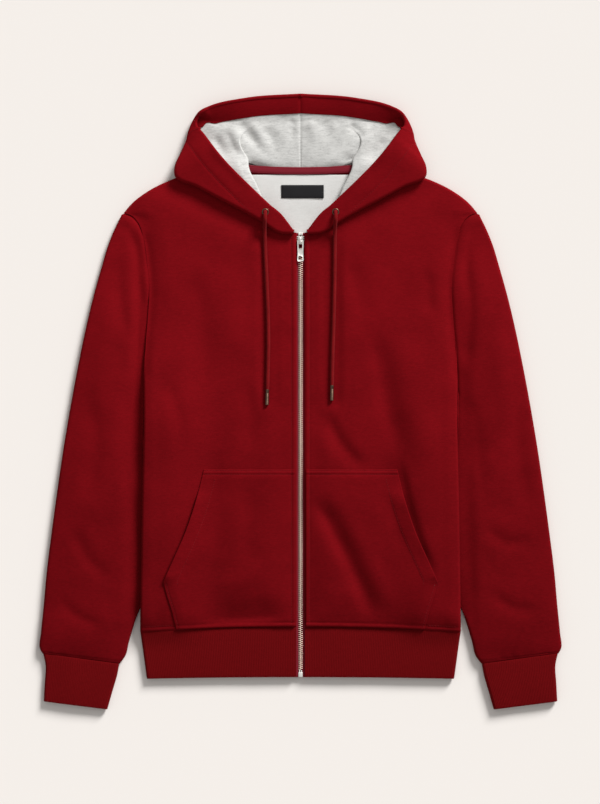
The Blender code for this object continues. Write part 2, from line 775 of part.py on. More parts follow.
def make_slider(slider_top):
    inner = PLATE_SPACE / 2
    outer = inner + PLATE
    half = SLIDER_WIDTH / 2
    section = [(-half, -outer), (half, -outer), (half, -inner), (WEB_HALF, -inner), (WEB_HALF, inner),
               (half, inner), (half, outer), (-half, outer), (-half, inner), (-WEB_HALF, inner),
               (-WEB_HALF, -inner), (-half, -inner)]
    section = [(x, ZIP_LEVEL + z) for x, z in section]
    slider = prism("zip_slider", section, "y", SLIDER_LOW, slider_top, "nickel")
    plate_top = ZIP_LEVEL + outer
    arch = [(-5.0, -0.2), (-5.0, 1.3), (-3.4, 3.2), (3.4, 3.2), (5.0, 1.3), (5.0, -0.2),
            (3.4, -0.2), (3.4, 1.0), (2.4, 2.1), (-2.4, 2.1), (-3.4, 1.0), (-3.4, -0.2)]
    arch = [(PULL_AXIS_Y + y, plate_top + z) for y, z in arch]
    bridge = prism("slider_bridge_guide", arch, "x", -BRIDGE_HALF, BRIDGE_HALF, "nickel")
    boolean(slider, bridge, "UNION")
    make_pull(plate_top + PULL_AXIS_UP)


def make_pull(axis_level):
    axis = bpy.data.objects.new("pull_axis", None)
    axis.location = (0.0, PULL_AXIS_Y * MM, axis_level * MM)
    bpy.context.scene.collection.objects.link(axis)
    half = PULL_WIDTH / 2
    thick = PULL_THICKNESS / 2
    pull = block("zip_pull", (-half, PULL_END_Y - PULL_AXIS_Y, -thick), (half, thick, thick), "nickel")
    eye_half = PULL_EYE[0] / 2
    eye = block("pull_eye_cutter", (-eye_half, -thick - PULL_EYE[1], -2.0), (eye_half, -thick, 2.0), "nickel")
    window_half = PULL_WINDOW[0] / 2
    window_y = PULL_WINDOW_Y - PULL_AXIS_Y
    window = block("pull_window_cutter", (-window_half, window_y - PULL_WINDOW[1] / 2, -2.0),
                   (window_half, window_y + PULL_WINDOW[1] / 2, 2.0), "nickel")
    for thing in (pull, eye, window):
        thing.parent = axis
    boolean(pull, eye, "DIFFERENCE")
    boolean(pull, window, "DIFFERENCE")


# ---- eyelets, drawcords and tips ----

def ring(name, centre, inner, outer, height, finish):
    """A flat ring, turned about an upright axis."""
    bm = bmesh.new()
    profile = [(inner, 0.0), (outer, 0.0), (outer, height * 0.5), (outer - 0.5, height), (inner, height)]
    verts = [bm.verts.new((x, 0.0, z)) for x, z in profile]
    edges = [bm.edges.new((a, b)) for a, b in zip(verts, verts[1:] + verts[:1])]
    bmesh.ops.spin(bm, geom=verts + edges, cent=(0, 0, 0), axis=(0, 0, 1), angle=math.tau, steps=20,
                   use_merge=True)
    bmesh.ops.remove_doubles(bm, verts=bm.verts, dist=0.001)
    bmesh.ops.translate(bm, vec=centre, verts=bm.verts)
    return add_object(name, bm, finish)


def make_cords():
    for side, sign in SIDES:
        height = height_reader(bpy.data.objects["hood_" + side])
        x = sign * EYELET_XY[0]
        y = EYELET_XY[1]
        around = [height(x + EYELET_OUTER * math.cos(a), y + EYELET_OUTER * math.sin(a))
                  for a in np.linspace(0.0, math.tau, 13)]
        level = max(around) + SEAM_GAP
        ring("eyelet_" + side, (x, y, level), EYELET_HOLE, EYELET_OUTER, EYELET_HEIGHT, "antique")
        curve = bpy.data.curves.new("drawcord_" + side, "CURVE")
        curve.dimensions = "3D"
        curve.bevel_depth = CORD_DIAMETER / 2 * MM
        curve.bevel_resolution = 2
        curve.use_fill_caps = True
        points, fractions = smooth_route(CORD_ROUTES[side])
        spline = curve.splines.new("POLY")
        spline.points.add(CORD_POINTS - 1)
        for k in range(CORD_POINTS):
            place = [np.interp(k / (CORD_POINTS - 1), fractions, axis) * MM for axis in points.T]
            spline.points[k].co = (*place, 1.0)
        curve.materials.append(finish_material("cord"))
        cord = bpy.data.objects.new("drawcord_" + side, curve)
        bpy.context.scene.collection.objects.link(cord)
        end = Vector(CORD_ROUTES[side][-1])
        along = Vector(points[-1] - points[-4]).normalized()
        bm = bmesh.new()
        bmesh.ops.create_cone(bm, cap_ends=True, segments=12, radius1=TIP_DIAMETER / 2,
                              radius2=TIP_DIAMETER / 2, depth=TIP_LENGTH)
        turn = Vector((0.0, 0.0, 1.0)).rotation_difference(along).to_matrix().to_4x4()
        middle = end + along * (SEAM_GAP + TIP_LENGTH / 2)
        bmesh.ops.transform(bm, matrix=Matrix.Translation(middle) @ turn, verts=bm.verts)
        add_object("cord_tip_" + side, bm, "antique")


def main():
    for thing in list(bpy.data.objects):
        bpy.data.objects.remove(thing)
    make_back()
    make_fronts()
    make_waistband()
    make_sleeves()
    make_pockets()
    make_hood()
    make_neck()
    make_zip()
    make_cords()


main()
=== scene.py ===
import math

import bmesh
import bpy
import numpy as np
from mathutils import Matrix, Vector
from mathutils.bvhtree import BVHTree


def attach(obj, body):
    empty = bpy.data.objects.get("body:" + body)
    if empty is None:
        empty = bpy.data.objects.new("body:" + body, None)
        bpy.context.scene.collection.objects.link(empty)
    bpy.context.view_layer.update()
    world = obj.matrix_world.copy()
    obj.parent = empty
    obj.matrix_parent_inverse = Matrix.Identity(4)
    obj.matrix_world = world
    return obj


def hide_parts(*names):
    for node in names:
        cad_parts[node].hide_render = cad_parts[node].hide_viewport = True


# Zip-up hoodie lying flat, front up. The surface is z = 0, +Y runs from the hem to the hood.
# Every size below is in millimetres unless its note says otherwise.

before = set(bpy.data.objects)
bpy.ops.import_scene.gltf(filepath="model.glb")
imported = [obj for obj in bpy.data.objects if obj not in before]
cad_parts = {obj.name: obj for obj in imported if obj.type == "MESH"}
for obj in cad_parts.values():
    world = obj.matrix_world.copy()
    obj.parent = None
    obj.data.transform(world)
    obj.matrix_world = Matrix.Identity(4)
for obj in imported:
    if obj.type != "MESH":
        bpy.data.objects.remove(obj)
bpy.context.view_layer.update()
scene = bpy.context.scene
mm = 0.001
sides = {"left": -1.0, "right": 1.0}


# small mathematics

def ease(value):
    value = np.clip(value, 0.0, 1.0)
    return value * value * (3.0 - 2.0 * value)


def bell(offset, width):
    return np.exp(-(offset / width) ** 2)


def unit(vectors):
    return vectors / np.linalg.norm(vectors, axis=-1, keepdims=True)


def gridOf(*axes):
    return np.stack(np.broadcast_arrays(*axes), axis=-1)


def lengthsAlong(points):
    # distances from the first point along a line of points
    return np.concatenate([[0.0], np.cumsum(np.linalg.norm(np.diff(points, axis=0), axis=1))])


def pointsAt(points, along, at):
    return np.stack([np.interp(at, along, axis) for axis in points.T], axis=-1)


def hermite(t, span, start, end, startSlope, endSlope):
    return ((2 * t**3 - 3 * t**2 + 1) * start + (t**3 - 2 * t**2 + t) * span * startSlope
            + (3 * t**2 - 2 * t**3) * end + (t**3 - t**2) * span * endSlope)


def smoothRoute(points, samples=16):
    # points on a smooth curve through the given ones, with their fractions of its length
    points = np.array(points, float)
    chord = lengthsAlong(points)
    slope = np.gradient(points, chord, axis=0)
    curve = [hermite(t, chord[k + 1] - chord[k], points[k], points[k + 1], slope[k], slope[k + 1])
             for k in range(len(points) - 1) for t in np.linspace(0.0, 1.0, samples, endpoint=False)]
    curve = np.array(curve + [points[-1]])
    length = lengthsAlong(curve)
    return curve, length / length[-1]


def readRoute(route, fraction):
    return pointsAt(*route, fraction)


def fractionAtY(route, y):
    curve, along = route
    falling = -1.0 if curve[0, 1] > curve[-1, 1] else 1.0
    return np.interp(falling * np.asarray(y, float), falling * curve[:, 1], along)


def tableCurve(at, places, values, slope):
    # reads a table between its rows, on curves with the given slopes at the rows
    k = np.clip(np.searchsorted(places, at, side="right") - 1, 0, len(places) - 2)
    span = np.diff(places)[k][:, None]
    t = (at - places[k])[:, None] / span
    return hermite(t, span, values[k], values[k + 1], slope[k], slope[k + 1])


def steadyTable(at, places, values):
    # the same, on curves that never swing past the rows' own values
    values = np.array(values, float)
    rise = np.diff(values, axis=0) / np.diff(places)[:, None]
    same = rise[:-1] * rise[1:] > 0
    harmonic = 2 * rise[:-1] * rise[1:] / np.where(same, rise[:-1] + rise[1:], 1.0)
    slope = np.concatenate([rise[:1], np.where(same, harmonic, 0.0), rise[-1:]])
    return tableCurve(at, places, values, slope)


def spreadOut(start, end, count, dense=()):
    # count places from start to end, closer together round each (place, reach, extra)
    fine = np.linspace(start, end, 2000)
    weight = np.ones_like(fine)
    for place, reach, extra in dense:
        weight += extra * bell(fine - place, reach)
    total = np.concatenate([[0.0], np.cumsum((weight[1:] + weight[:-1]) / 2)])
    return np.interp(np.linspace(0.0, total[-1], count), total, fine)


def softNoise(x, y, size, seed):
    # smooth uneven heights between -1 and 1
    count = 64
    lattice = np.random.default_rng(seed).uniform(-1.0, 1.0, (count, count))
    x = x / size + 31.7   # keeps the lattice's own edges away from the garment
    y = y / size + 29.3
    i = np.floor(x).astype(int)
    j = np.floor(y).astype(int)
    u = ease(x - i)
    v = ease(y - j)
    low, high = [lattice[i % count, row % count] * (1 - u) + lattice[(i + 1) % count, row % count] * u
                 for row in (j, j + 1)]
    return low * (1 - v) + high * v


def nearRoute(x, y, route):
    # distance from a route, the share of its length there, and the side of it: 1 is its left
    start = lengthsAlong(route)
    best = np.full(x.shape, np.inf)
    share, side = np.zeros(x.shape), np.zeros(x.shape)
    for k in range(len(route) - 1):
        dx, dy = route[k + 1] - route[k]
        length = math.hypot(dx, dy)
        t = np.clip(((x - route[k][0]) * dx + (y - route[k][1]) * dy) / length ** 2, 0.0, 1.0)
        offX = x - route[k][0] - t * dx
        offY = y - route[k][1] - t * dy
        distance = np.hypot(offX, offY)
        closer = distance < best
        best = np.where(closer, distance, best)
        share = np.where(closer, (start[k] + t * length) / start[-1], share)
        side = np.where(closer, np.sign(dx * offY - dy * offX), side)
    return best, share, side


def foldHeights(x, y, folds):
    # the sum of soft troughs and ridges. Each: height, width on its left, width on its right,
    # share of its length over which each end fades, points
    total = np.zeros(x.shape)
    for height, leftWidth, rightWidth, fade, points in folds:
        route = smoothRoute(points, 6)[0] if len(points) > 2 else np.array(points, float)
        distance, share, side = nearRoute(x, y, route)
        ends = ease(share / fade) * ease((1.0 - share) / fade)
        total += height * bell(distance, np.where(side > 0, leftWidth, rightWidth)) * ends
    return total


def gridNormals(grid, closed=False):
    if closed:
        across = np.roll(grid[:, :-1], -1, axis=1) - np.roll(grid[:, :-1], 1, axis=1)
        across = np.concatenate([across, across[:, :1]], axis=1)
    else:
        across = np.gradient(grid, axis=1)
    normals = np.cross(across, np.gradient(grid, axis=0))
    return normals / np.maximum(np.linalg.norm(normals, axis=2, keepdims=True), 1e-9)


def bothHalves(half):
    # a grid from x on one side to the middle, carried on to the other side
    flip = np.ones(half.shape[-1])
    flip[0] = -1.0
    return np.concatenate([half, (half * flip)[:, -2::-1]], axis=1)


# camera first

camera = {"height": 4000.0, "lens": 127.93, "aim": (-0.7, 0.7)}


def makeCamera():
    data = bpy.data.cameras.new("overhead")
    data.lens = camera["lens"]
    data.clip_end = 20.0
    thing = bpy.data.objects.new("overhead", data)
    thing.location = (camera["aim"][0] * mm, camera["aim"][1] * mm, camera["height"] * mm)
    scene.collection.objects.link(thing)
    scene.camera = thing


# materials

def addNode(tree, kind, inputs, output=0, **settings):
    # inputs are values or the sockets of other nodes. Gives the socket of one output
    node = tree.nodes.new(kind)
    for name, value in settings.items():
        setattr(node, name, value)
    for name, value in inputs.items():
        if isinstance(value, bpy.types.NodeSocket):
            tree.links.new(value, node.inputs[name])
        else:
            node.inputs[name].default_value = value
    return node.outputs[output]


def newMaterial(name, roughness, metallic=0.0, sheen=0.0, specular=0.5):
    material = bpy.data.materials.new(name)
    material.use_nodes = True
    shader = material.node_tree.nodes["Principled BSDF"]
    for key, value in (("Roughness", roughness), ("Metallic", metallic), ("Sheen Weight", sheen),
                       ("Specular IOR Level", specular)):
        shader.inputs[key].default_value = value
    return material, material.node_tree, shader


def mapped(tree, source, scale):
    place = addNode(tree, "ShaderNodeTexCoord", {}, source)
    return addNode(tree, "ShaderNodeMapping", {"Vector": place, "Scale": scale}, "Vector")


def noise(tree, source, scale, detail=2.0, roughness=0.5):
    return addNode(tree, "ShaderNodeTexNoise", {"Vector": mapped(tree, source, scale), "Scale": 1.0,
                                                "Detail": detail, "Roughness": roughness}, "Fac")


def waves(tree, source, scale, direction, bend):
    return addNode(tree, "ShaderNodeTexWave", {"Vector": mapped(tree, source, scale), "Scale": 1.0,
                                               "Distortion": bend, "Detail": 1.0}, "Fac",
                   bands_direction=direction)


def acrossY(tree, low, high):
    # 0 at low to 1 at high, in metres along the length of the garment
    place = addNode(tree, "ShaderNodeTexCoord", {}, "Object")
    y = addNode(tree, "ShaderNodeSeparateXYZ", {"Vector": place}, "Y")
    span = {"Value": y, "From Min": low, "From Max": high}
    return addNode(tree, "ShaderNodeMapRange", span, "Result")


def mixShares(tree, patterns):
    # adds patterns up round a middle of 0.5, each with its own share
    total = 0.5 - sum(share for _, share in patterns) / 2
    for socket, share in patterns:
        total = addNode(tree, "ShaderNodeMath", {0: socket, 1: share, 2: total},
                        operation="MULTIPLY_ADD")
    return total


def dress(tree, shader, colour, patterns, low, high, relief, strength, depth):
    # the colour follows some patterns, with its factors at a low and at a high place, and the
    # bump follows others
    ramp = tree.nodes.new("ShaderNodeValToRGB")
    elements = ramp.color_ramp.elements
    for k, (place, factor) in enumerate((low, (0.5, 1.0), high)):
        element = elements[k] if k < 2 else elements.new(place)
        element.position = place
        element.color = (*(channel * factor for channel in colour), 1.0)
    tree.links.new(mixShares(tree, patterns), ramp.inputs["Fac"])
    tree.links.new(ramp.outputs["Color"], shader.inputs["Base Color"])
    bump = {"Height": mixShares(tree, relief), "Strength": strength, "Distance": depth * mm}
    tree.links.new(addNode(tree, "ShaderNodeBump", bump, "Normal"), shader.inputs["Normal"])


colours = {  # linear red, green, blue
    "fleece": (0.146, 0.0026, 0.0048),
    "rib": (0.118, 0.0028, 0.0038),
    "tape": (0.185, 0.0085, 0.0190),
    "thread": (0.168, 0.0042, 0.0070),
    "cord": (0.158, 0.0048, 0.0062),
    "lining": (0.575, 0.568, 0.546),
    "innerBack": (0.690, 0.680, 0.655),
    "label": (0.010, 0.0095, 0.0105),
    "brass": (0.82, 0.62, 0.51),
    "nickel": (0.93, 0.91, 0.85),
    "antique": (0.16, 0.10, 0.07),
    "sheen": (0.9, 0.12, 0.12),
}


def heatherMaterial(name, colour):
    # brushed sweatshirt fleece: fine knit, short uneven streaks along the courses, and painted
    # light and shade: lighter towards the shoulders and darker towards the hem
    material, tree, shader = newMaterial(name, 0.95, sheen=0.02, specular=0.02)
    shader.inputs["Sheen Tint"].default_value = (*colours["sheen"], 1.0)
    streaks = noise(tree, "Object", (150, 620, 300), 3.0, 0.6)
    specks = noise(tree, "Object", (900, 1100, 900), 2.0, 0.7)
    clouds = noise(tree, "Object", (14, 22, 14))
    # painted shade: the colour darkens down the garment towards the hem, standing in for light that
    # falls off
    paintedShadeTowardsHem = acrossY(tree, -0.42, 0.2)
    wales = waves(tree, "Object", (560, 560, 560), "X", 1.5)
    dress(tree, shader, colour, [(streaks, 0.55), (specks, 0.6), (clouds, 0.35), (paintedShadeTowardsHem, 0.4)],
          (0.15, 0.66), (0.88, 1.42), [(wales, 0.35), (specks, 0.9), (streaks, 0.5)], 0.35, 0.35)
    return material


def ribMaterial(name, colour):
    # the ridges of the rib are in the mesh
    material, tree, shader = newMaterial(name, 0.95, sheen=0.02, specular=0.02)
    shader.inputs["Sheen Tint"].default_value = (*colours["sheen"], 1.0)
    specks = noise(tree, "Object", (900, 900, 900), 2.0, 0.7)
    streaks = noise(tree, "UV", (1500, 160, 1))
    dress(tree, shader, colour, [(specks, 0.7), (streaks, 0.5)], (0.15, 0.62), (0.88, 1.4),
          [(specks, 0.8), (streaks, 0.6)], 0.3, 0.3)
    return material


def marlMaterial(name, colour, contrast):
    # grey marl jersey: pale and dark yarns mixed along the courses
    material, tree, shader = newMaterial(name, 0.95, sheen=0.08, specular=0.12)
    streaks = noise(tree, "Object", (110, 420, 200), 3.0, 0.65)
    flecks = noise(tree, "Object", (380, 1300, 700), 2.0, 0.7)
    clouds = noise(tree, "Object", (16, 16, 16))
    wales = waves(tree, "UV", (700, 700, 1), "X", 1.0)
    dress(tree, shader, colour, [(streaks, 0.9 * contrast), (flecks, 0.7 * contrast), (clouds, 0.3)],
          (0.15, 0.72), (0.85, 1.14), [(wales, 0.4), (flecks, 0.6)], 0.3, 0.25)
    return material


def wovenMaterial(name, colour, threadSize, contrast=0.5, roughness=0.85):
    material, tree, shader = newMaterial(name, roughness, specular=0.2)
    scale = [math.pi / 10 / (threadSize * mm)] * 3   # one wave for each thread
    warp = waves(tree, "Object", scale, "X", 0.3)
    weft = waves(tree, "Object", scale, "Y", 0.3)
    specks = noise(tree, "Object", (1200, 1200, 1200))
    threads = [(warp, 0.3 * contrast), (weft, 0.3 * contrast), (specks, 0.6 * contrast)]
    dress(tree, shader, colour, threads, (0.2, 0.7), (0.85, 1.35),
          [(warp, 0.5), (weft, 0.5), (specks, 0.3)], 0.4, 0.15)
    return material


def metalMaterial(name, colour, roughness, wear, metallic=1.0):
    # cast and tumbled metal: darker and duller in patches
    material, tree, shader = newMaterial(name, roughness, metallic=metallic)
    patches = noise(tree, "Object", (260, 260, 260), 3.0, 0.6)
    grain = noise(tree, "Object", (2400, 900, 900), 2.0, 0.6)
    dress(tree, shader, colour, [(patches, wear), (grain, wear * 0.6)], (0.1, 0.45), (0.9, 1.25),
          [(grain, 1.0)], 0.15, 0.05)
    dull = {"Value": patches, "To Min": roughness * 0.7, "To Max": roughness * 1.4}
    tree.links.new(addNode(tree, "ShaderNodeMapRange", dull, "Result"), shader.inputs["Roughness"])
    return material


def cordMaterial(name, colour):
    material, tree, shader = newMaterial(name, 0.95, sheen=0.03, specular=0.04)
    specks = noise(tree, "Object", (1100, 1100, 1100), 2.0, 0.7)
    length = noise(tree, "Object", (260, 90, 260))
    dress(tree, shader, colour, [(specks, 0.8), (length, 0.5)], (0.15, 0.6), (0.88, 1.5),
          [(specks, 1.0)], 0.35, 0.2)
    return material


materials = {}


def makeMaterials():
    recipes = {
        "fleece": (heatherMaterial, "heatherFleece", "fleece"),
        "rib": (ribMaterial, "heatherRib", "rib"),
        "lining": (marlMaterial, "marlJersey", "lining", 1.35),
        "innerBack": (marlMaterial, "paleJersey", "innerBack", 0.3),
        "tape": (wovenMaterial, "twillTape", "tape", 0.9),
        "thread": (wovenMaterial, "sewingThread", "thread", 0.5),
        "blackThread": (wovenMaterial, "labelThread", "label", 0.5),
        "label": (wovenMaterial, "labelSatin", "label", 0.45, 0.5, 0.6),
        "cord": (cordMaterial, "cordCotton", "cord"),
        "brass": (metalMaterial, "brassTeeth", "brass", 0.42, 0.5, 0.6),
        "nickel": (metalMaterial, "nickel", "nickel", 0.4, 0.3, 0.7),
        "antique": (metalMaterial, "antiqueBrass", "antique", 0.4, 0.9),
    }
    for key, (recipe, name, colour, *sizes) in recipes.items():
        materials[key] = recipe(name, colours[colour], *sizes)
    print("materials:", len(materials))


# making pieces

cuts = {}


def settle(piece, nodes, body="garment"):
    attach(piece, body)
    if nodes:
        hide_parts(*nodes)
    return piece


def meshObject(name, mesh, material):
    mesh.materials.append(materials[material])
    mesh.shade_smooth()
    piece = bpy.data.objects.new(name, mesh)
    scene.collection.objects.link(piece)
    return piece


def bmeshObject(name, bm, material, angle):
    # a bmesh in millimetres becomes a piece, with sharp edges above an angle in degrees
    bmesh.ops.recalc_face_normals(bm, faces=bm.faces)
    bmesh.ops.scale(bm, vec=(mm, mm, mm), verts=bm.verts)
    mesh = bpy.data.meshes.new(name)
    bm.to_mesh(mesh)
    bm.free()
    piece = meshObject(name, mesh, material)
    mesh.set_sharp_from_angle(angle=math.radians(angle))
    return piece


def addBox(bm, size, centre):
    verts = bmesh.ops.create_cube(bm, size=1.0)["verts"]
    bmesh.ops.scale(bm, vec=size, verts=verts)
    bmesh.ops.translate(bm, vec=centre, verts=verts)


def addLoop(bm, points, closed=True):
    verts = [bm.verts.new(point) for point in points]
    return [bm.edges.new(pair) for pair in zip(verts, verts[1:] + verts[:1] * closed)]


def roundEdges(bm, edges, offset, segments):
    bmesh.ops.bevel(bm, geom=edges, offset=offset, affect="EDGES", segments=segments, profile=0.5,
                    material=-1)


def sharpEdges(bm, angle):
    inner = [edge for edge in bm.edges if len(edge.link_faces) == 2]
    return [edge for edge in inner if edge.calc_face_angle(0.0) > angle]


def extrudeUp(bm, faces, height):
    made = bmesh.ops.extrude_face_region(bm, geom=faces)["geom"]
    moved = [item for item in made if isinstance(item, bmesh.types.BMVert)]
    bmesh.ops.translate(bm, vec=(0.0, 0.0, height), verts=moved)


def turnedPart(profile, steps, closed, start, along):
    # radius and height pairs turned all round, then set up at a start along a direction
    bm = bmesh.new()
    edges = addLoop(bm, [(radius, 0.0, height) for radius, height in profile], closed)
    bmesh.ops.spin(bm, geom=bm.verts[:] + edges, cent=(0, 0, 0), axis=(0, 0, 1), angle=math.tau,
                   steps=steps, use_merge=True)
    bmesh.ops.remove_doubles(bm, verts=bm.verts, dist=0.001)
    turn = Vector((0.0, 0.0, 1.0)).rotation_difference(along).to_matrix().to_4x4()
    bmesh.ops.transform(bm, matrix=Matrix.Translation(start) @ turn, verts=bm.verts)
    return bm


def clothPiece(name, grid, material, thickness, rim=0.8, welded=False):
    # a sheet of cloth on a grid of points, with real sizes in its UV map, then its thickness
    rows, columns = grid.shape[:2]
    bm = bmesh.new()
    bmesh.ops.create_grid(bm, x_segments=columns - 1, y_segments=rows - 1, size=1.0)
    mesh = bpy.data.meshes.new(name)
    bm.to_mesh(mesh)
    bm.free()
    flat = np.empty(len(mesh.vertices) * 3)
    mesh.vertices.foreach_get("co", flat)
    place = (flat.reshape(-1, 3)[:, :2] + 1.0) / 2.0 * (columns - 1, rows - 1)
    column, row = np.rint(place).astype(int).T
    mesh.vertices.foreach_set("co", (grid[row, column] * mm).ravel())
    across, along = [np.cumsum(np.linalg.norm(np.diff(grid, axis=axis), axis=2), axis=axis) * mm
                     for axis in (1, 0)]
    across = np.pad(across, ((0, 0), (1, 0)))
    along = np.pad(along, ((1, 0), (0, 0)))
    corner = np.empty(len(mesh.loops), np.int32)
    mesh.loops.foreach_get("vertex_index", corner)
    uv = np.stack([across[row, column][corner], along[row, column][corner]], axis=1)
    mesh.uv_layers.new(name="cloth").data.foreach_set("uv", uv.ravel())
    if welded:
        bm = bmesh.new()
        bm.from_mesh(mesh)
        bmesh.ops.remove_doubles(bm, verts=bm.verts, dist=0.00001)
        bm.to_mesh(mesh)
        bm.free()
    piece = meshObject(name, mesh, material)
    area = sum(polygon.area for polygon in mesh.polygons)
    cuts[name] = (float(across[:, -1].max()), float(along[-1].max()), area)
    if thickness:
        wall = piece.modifiers.new("thickness", "SOLIDIFY")
        wall.thickness = thickness * mm
        wall.offset = 0.0
        edge = piece.modifiers.new("rim", "BEVEL")
        edge.width = rim * mm
        edge.segments = 2
        edge.limit_method = "ANGLE"
        edge.angle_limit = math.radians(62.0)
    return piece


def declareSheet(piece):
    width, length, area = cuts[piece.name]
    area = min(area, 0.99 * width * length)


def surfaceReader(pieces):
    # gives the top of the made pieces and its normal at a place, in millimetres
    graph = bpy.context.evaluated_depsgraph_get()
    trees = [BVHTree.FromObject(piece, graph) for piece in pieces]
    down = Vector((0.0, 0.0, -1.0))
    high = 200.0   # over the whole garment

    def read(x, y):
        above = Vector((x * mm, y * mm, high * mm))
        hits = [tree.ray_cast(above, down)[:2] for tree in trees]
        hits = [hit for hit in hits if hit[0] is not None]
        if not hits:
            return None, None
        spot, normal = max(hits, key=lambda hit: hit[0].z)
        return np.array(spot) / mm, np.array(normal)

    return read


def scatterCopies(name, template, matrices, material):
    # one joined mesh with a copy of the template bmesh for each matrix
    template.verts.ensure_lookup_table()
    corners = np.array([[*vert.co, 1.0] for vert in template.verts])
    faces = [[vert.index for vert in face.verts] for face in template.faces]
    points = np.einsum("nij,vj->nvi", np.array(matrices), corners)[:, :, :3].reshape(-1, 3)
    joined = []
    for k in range(len(matrices)):
        joined += [[index + k * len(corners) for index in face] for face in faces]
    mesh = bpy.data.meshes.new(name)
    mesh.from_pydata((points * mm).tolist(), [], joined)
    mesh.update()
    return meshObject(name, mesh, material)


stitch = {
    "length": 2.7,
    "gap": 0.9,
    "thread": 0.52,
    "sunk": 0.06,
    "zipSpan": (-311.0, 232.0),
    "pocketTop": (14.5, 2.2),        # from the zip, and from the pocket's outline
    "openingSpan": (-106.0, -254.0),
    "sideSpan": (-252.0, -314.0),
    "hemSpan": (178.0, 217.0),
    "overHem": 7.0,
    "tunnelRows": (6, 122, 3),       # of the hood's grid
    "tunnelRoom": 24.0,              # what a row needs beyond the facing
    "tapeHalf": 80.0,
    "tapeRows": (-3.3, 3.3),
    "labelEdge": (1.6, 1.2),
}


def stitchMatrices(route, read):
    # a matrix for each stitch along a route of x, y that lies on the surface that read gives
    route = smoothRoute(route, 12)
    total = lengthsAlong(route[0])[-1]
    count = max(int(total / (stitch["length"] + stitch["gap"])), 1)
    half = stitch["length"] / 2 / total
    made = []
    for k in range(count):
        middle = (k + 0.5) / count
        ends = [readRoute(route, min(max(middle + part, 0.0), 1.0)) for part in (-half, half)]
        (a, normalA), (b, normalB) = [read(*end[:2]) for end in ends]
        if a is None or b is None:
            continue
        size = np.linalg.norm(b - a)
        if size < 0.5 or size > 3.0 * stitch["length"]:
            continue
        forward = (b - a) / size
        up = (normalA + normalB) / 2
        up = unit(up - forward * np.dot(up, forward))
        matrix = np.eye(4)
        matrix[:3, 0] = np.cross(up, forward) * stitch["thread"]
        matrix[:3, 1] = forward * size * 1.06
        matrix[:3, 2] = up * stitch["thread"] * 0.8
        matrix[:3, 3] = (a + b) / 2 + up * stitch["sunk"]
        made.append(matrix)
    return made


# the drawcords

drawcord = {
    "diameter": 5.5,
    "step": 0.85,       # from ring to ring
    "around": 24,       # points in a ring
    "braid": 0.16,      # height of the braid
    "strands": 6,
    "braidTurn": 15.0,  # length of one turn of a strand
    "intoEyelet": 4.5,
    "intoTip": 7.0,     # where the cord narrows
    "narrow": 0.14,
    "freeLength": 0.27,  # metres
}
tip = {"length": 21.6, "diameter": 4.8, "overCord": 0.4}
cordRoutes = {  # from the eyelet to the tip: x, y, z
    "left": [(-49, 265.7, 21), (-49.2, 262, 23.6), (-49.5, 256.5, 24.2), (-49.9, 250, 21),
             (-50.1, 243.5, 16.6), (-50, 236, 13.2), (-49.7, 226, 11.8), (-49, 205, 11.7),
             (-47.4, 170, 11.7), (-45.8, 130, 11.7), (-45, 90, 11.7), (-45.6, 50, 11.7),
             (-46.4, 17.6, 11.7)],
    "right": [(49, 265.7, 21), (49, 262, 23.6), (48.8, 256.5, 24.2), (48.5, 250, 21),
              (48.2, 243.5, 16.6), (48, 236, 13.2), (47.9, 226, 11.8), (47.8, 205, 11.7),
              (47.4, 170, 11.7), (46.6, 130, 11.7), (45.4, 90, 11.7), (44.4, 55, 11.7),
              (43.9, 23.6, 11.7)],
}


def makeCords():
    diameter, braid = drawcord["diameter"], drawcord["braid"]
    for side, points in cordRoutes.items():
        start = points[0]
        hidden = (start[0], start[1] + 0.6, start[2] - drawcord["intoEyelet"])
        route = smoothRoute([hidden, *points], 20)
        total = lengthsAlong(route[0])[-1]
        rings = int(total / drawcord["step"]) + 1
        centres = readRoute(route, np.linspace(0.0, 1.0, rings))
        forward = unit(np.gradient(centres, axis=0))
        across = unit(np.cross(forward, np.array([1.0, 0.0, 0.0])))
        other = np.cross(forward, across)
        angle = np.linspace(0.0, math.tau, drawcord["around"] + 1)
        place = np.linspace(0.0, total, rings)[:, None]
        turn = math.tau * place / drawcord["braidTurn"]
        strands = drawcord["strands"] / 2
        weave = np.abs(np.sin(strands * (angle + turn))) + np.abs(np.sin(strands * (angle - turn)))
        inTip = ease((place - total + drawcord["intoTip"]) / drawcord["intoTip"])
        radius = (diameter / 2 - braid) * (1.0 - drawcord["narrow"] * inTip) + braid * (weave - 1.0)
        grid = (centres[:, None, :] + radius[:, :, None]
                * (np.cos(angle)[None, :, None] * across[:, None, :]
                   + np.sin(angle)[None, :, None] * other[:, None, :]))
        grid[:, -1] = grid[:, 0]
        piece = clothPiece("drawcord" + side.title(), grid, "cord", 0.0, welded=True)
        bm = bmesh.new()
        bm.from_mesh(piece.data)
        bmesh.ops.holes_fill(bm, edges=[edge for edge in bm.edges if edge.is_boundary], sides=0)
        bmesh.ops.recalc_face_normals(bm, faces=bm.faces)
        bm.to_mesh(piece.data)
        bm.free()
        settle(piece, ["drawcord_" + side])
        end = makeTip(side, centres[-1], forward[-1])
        print("drawcord", side, "length", round(float(total), 1))


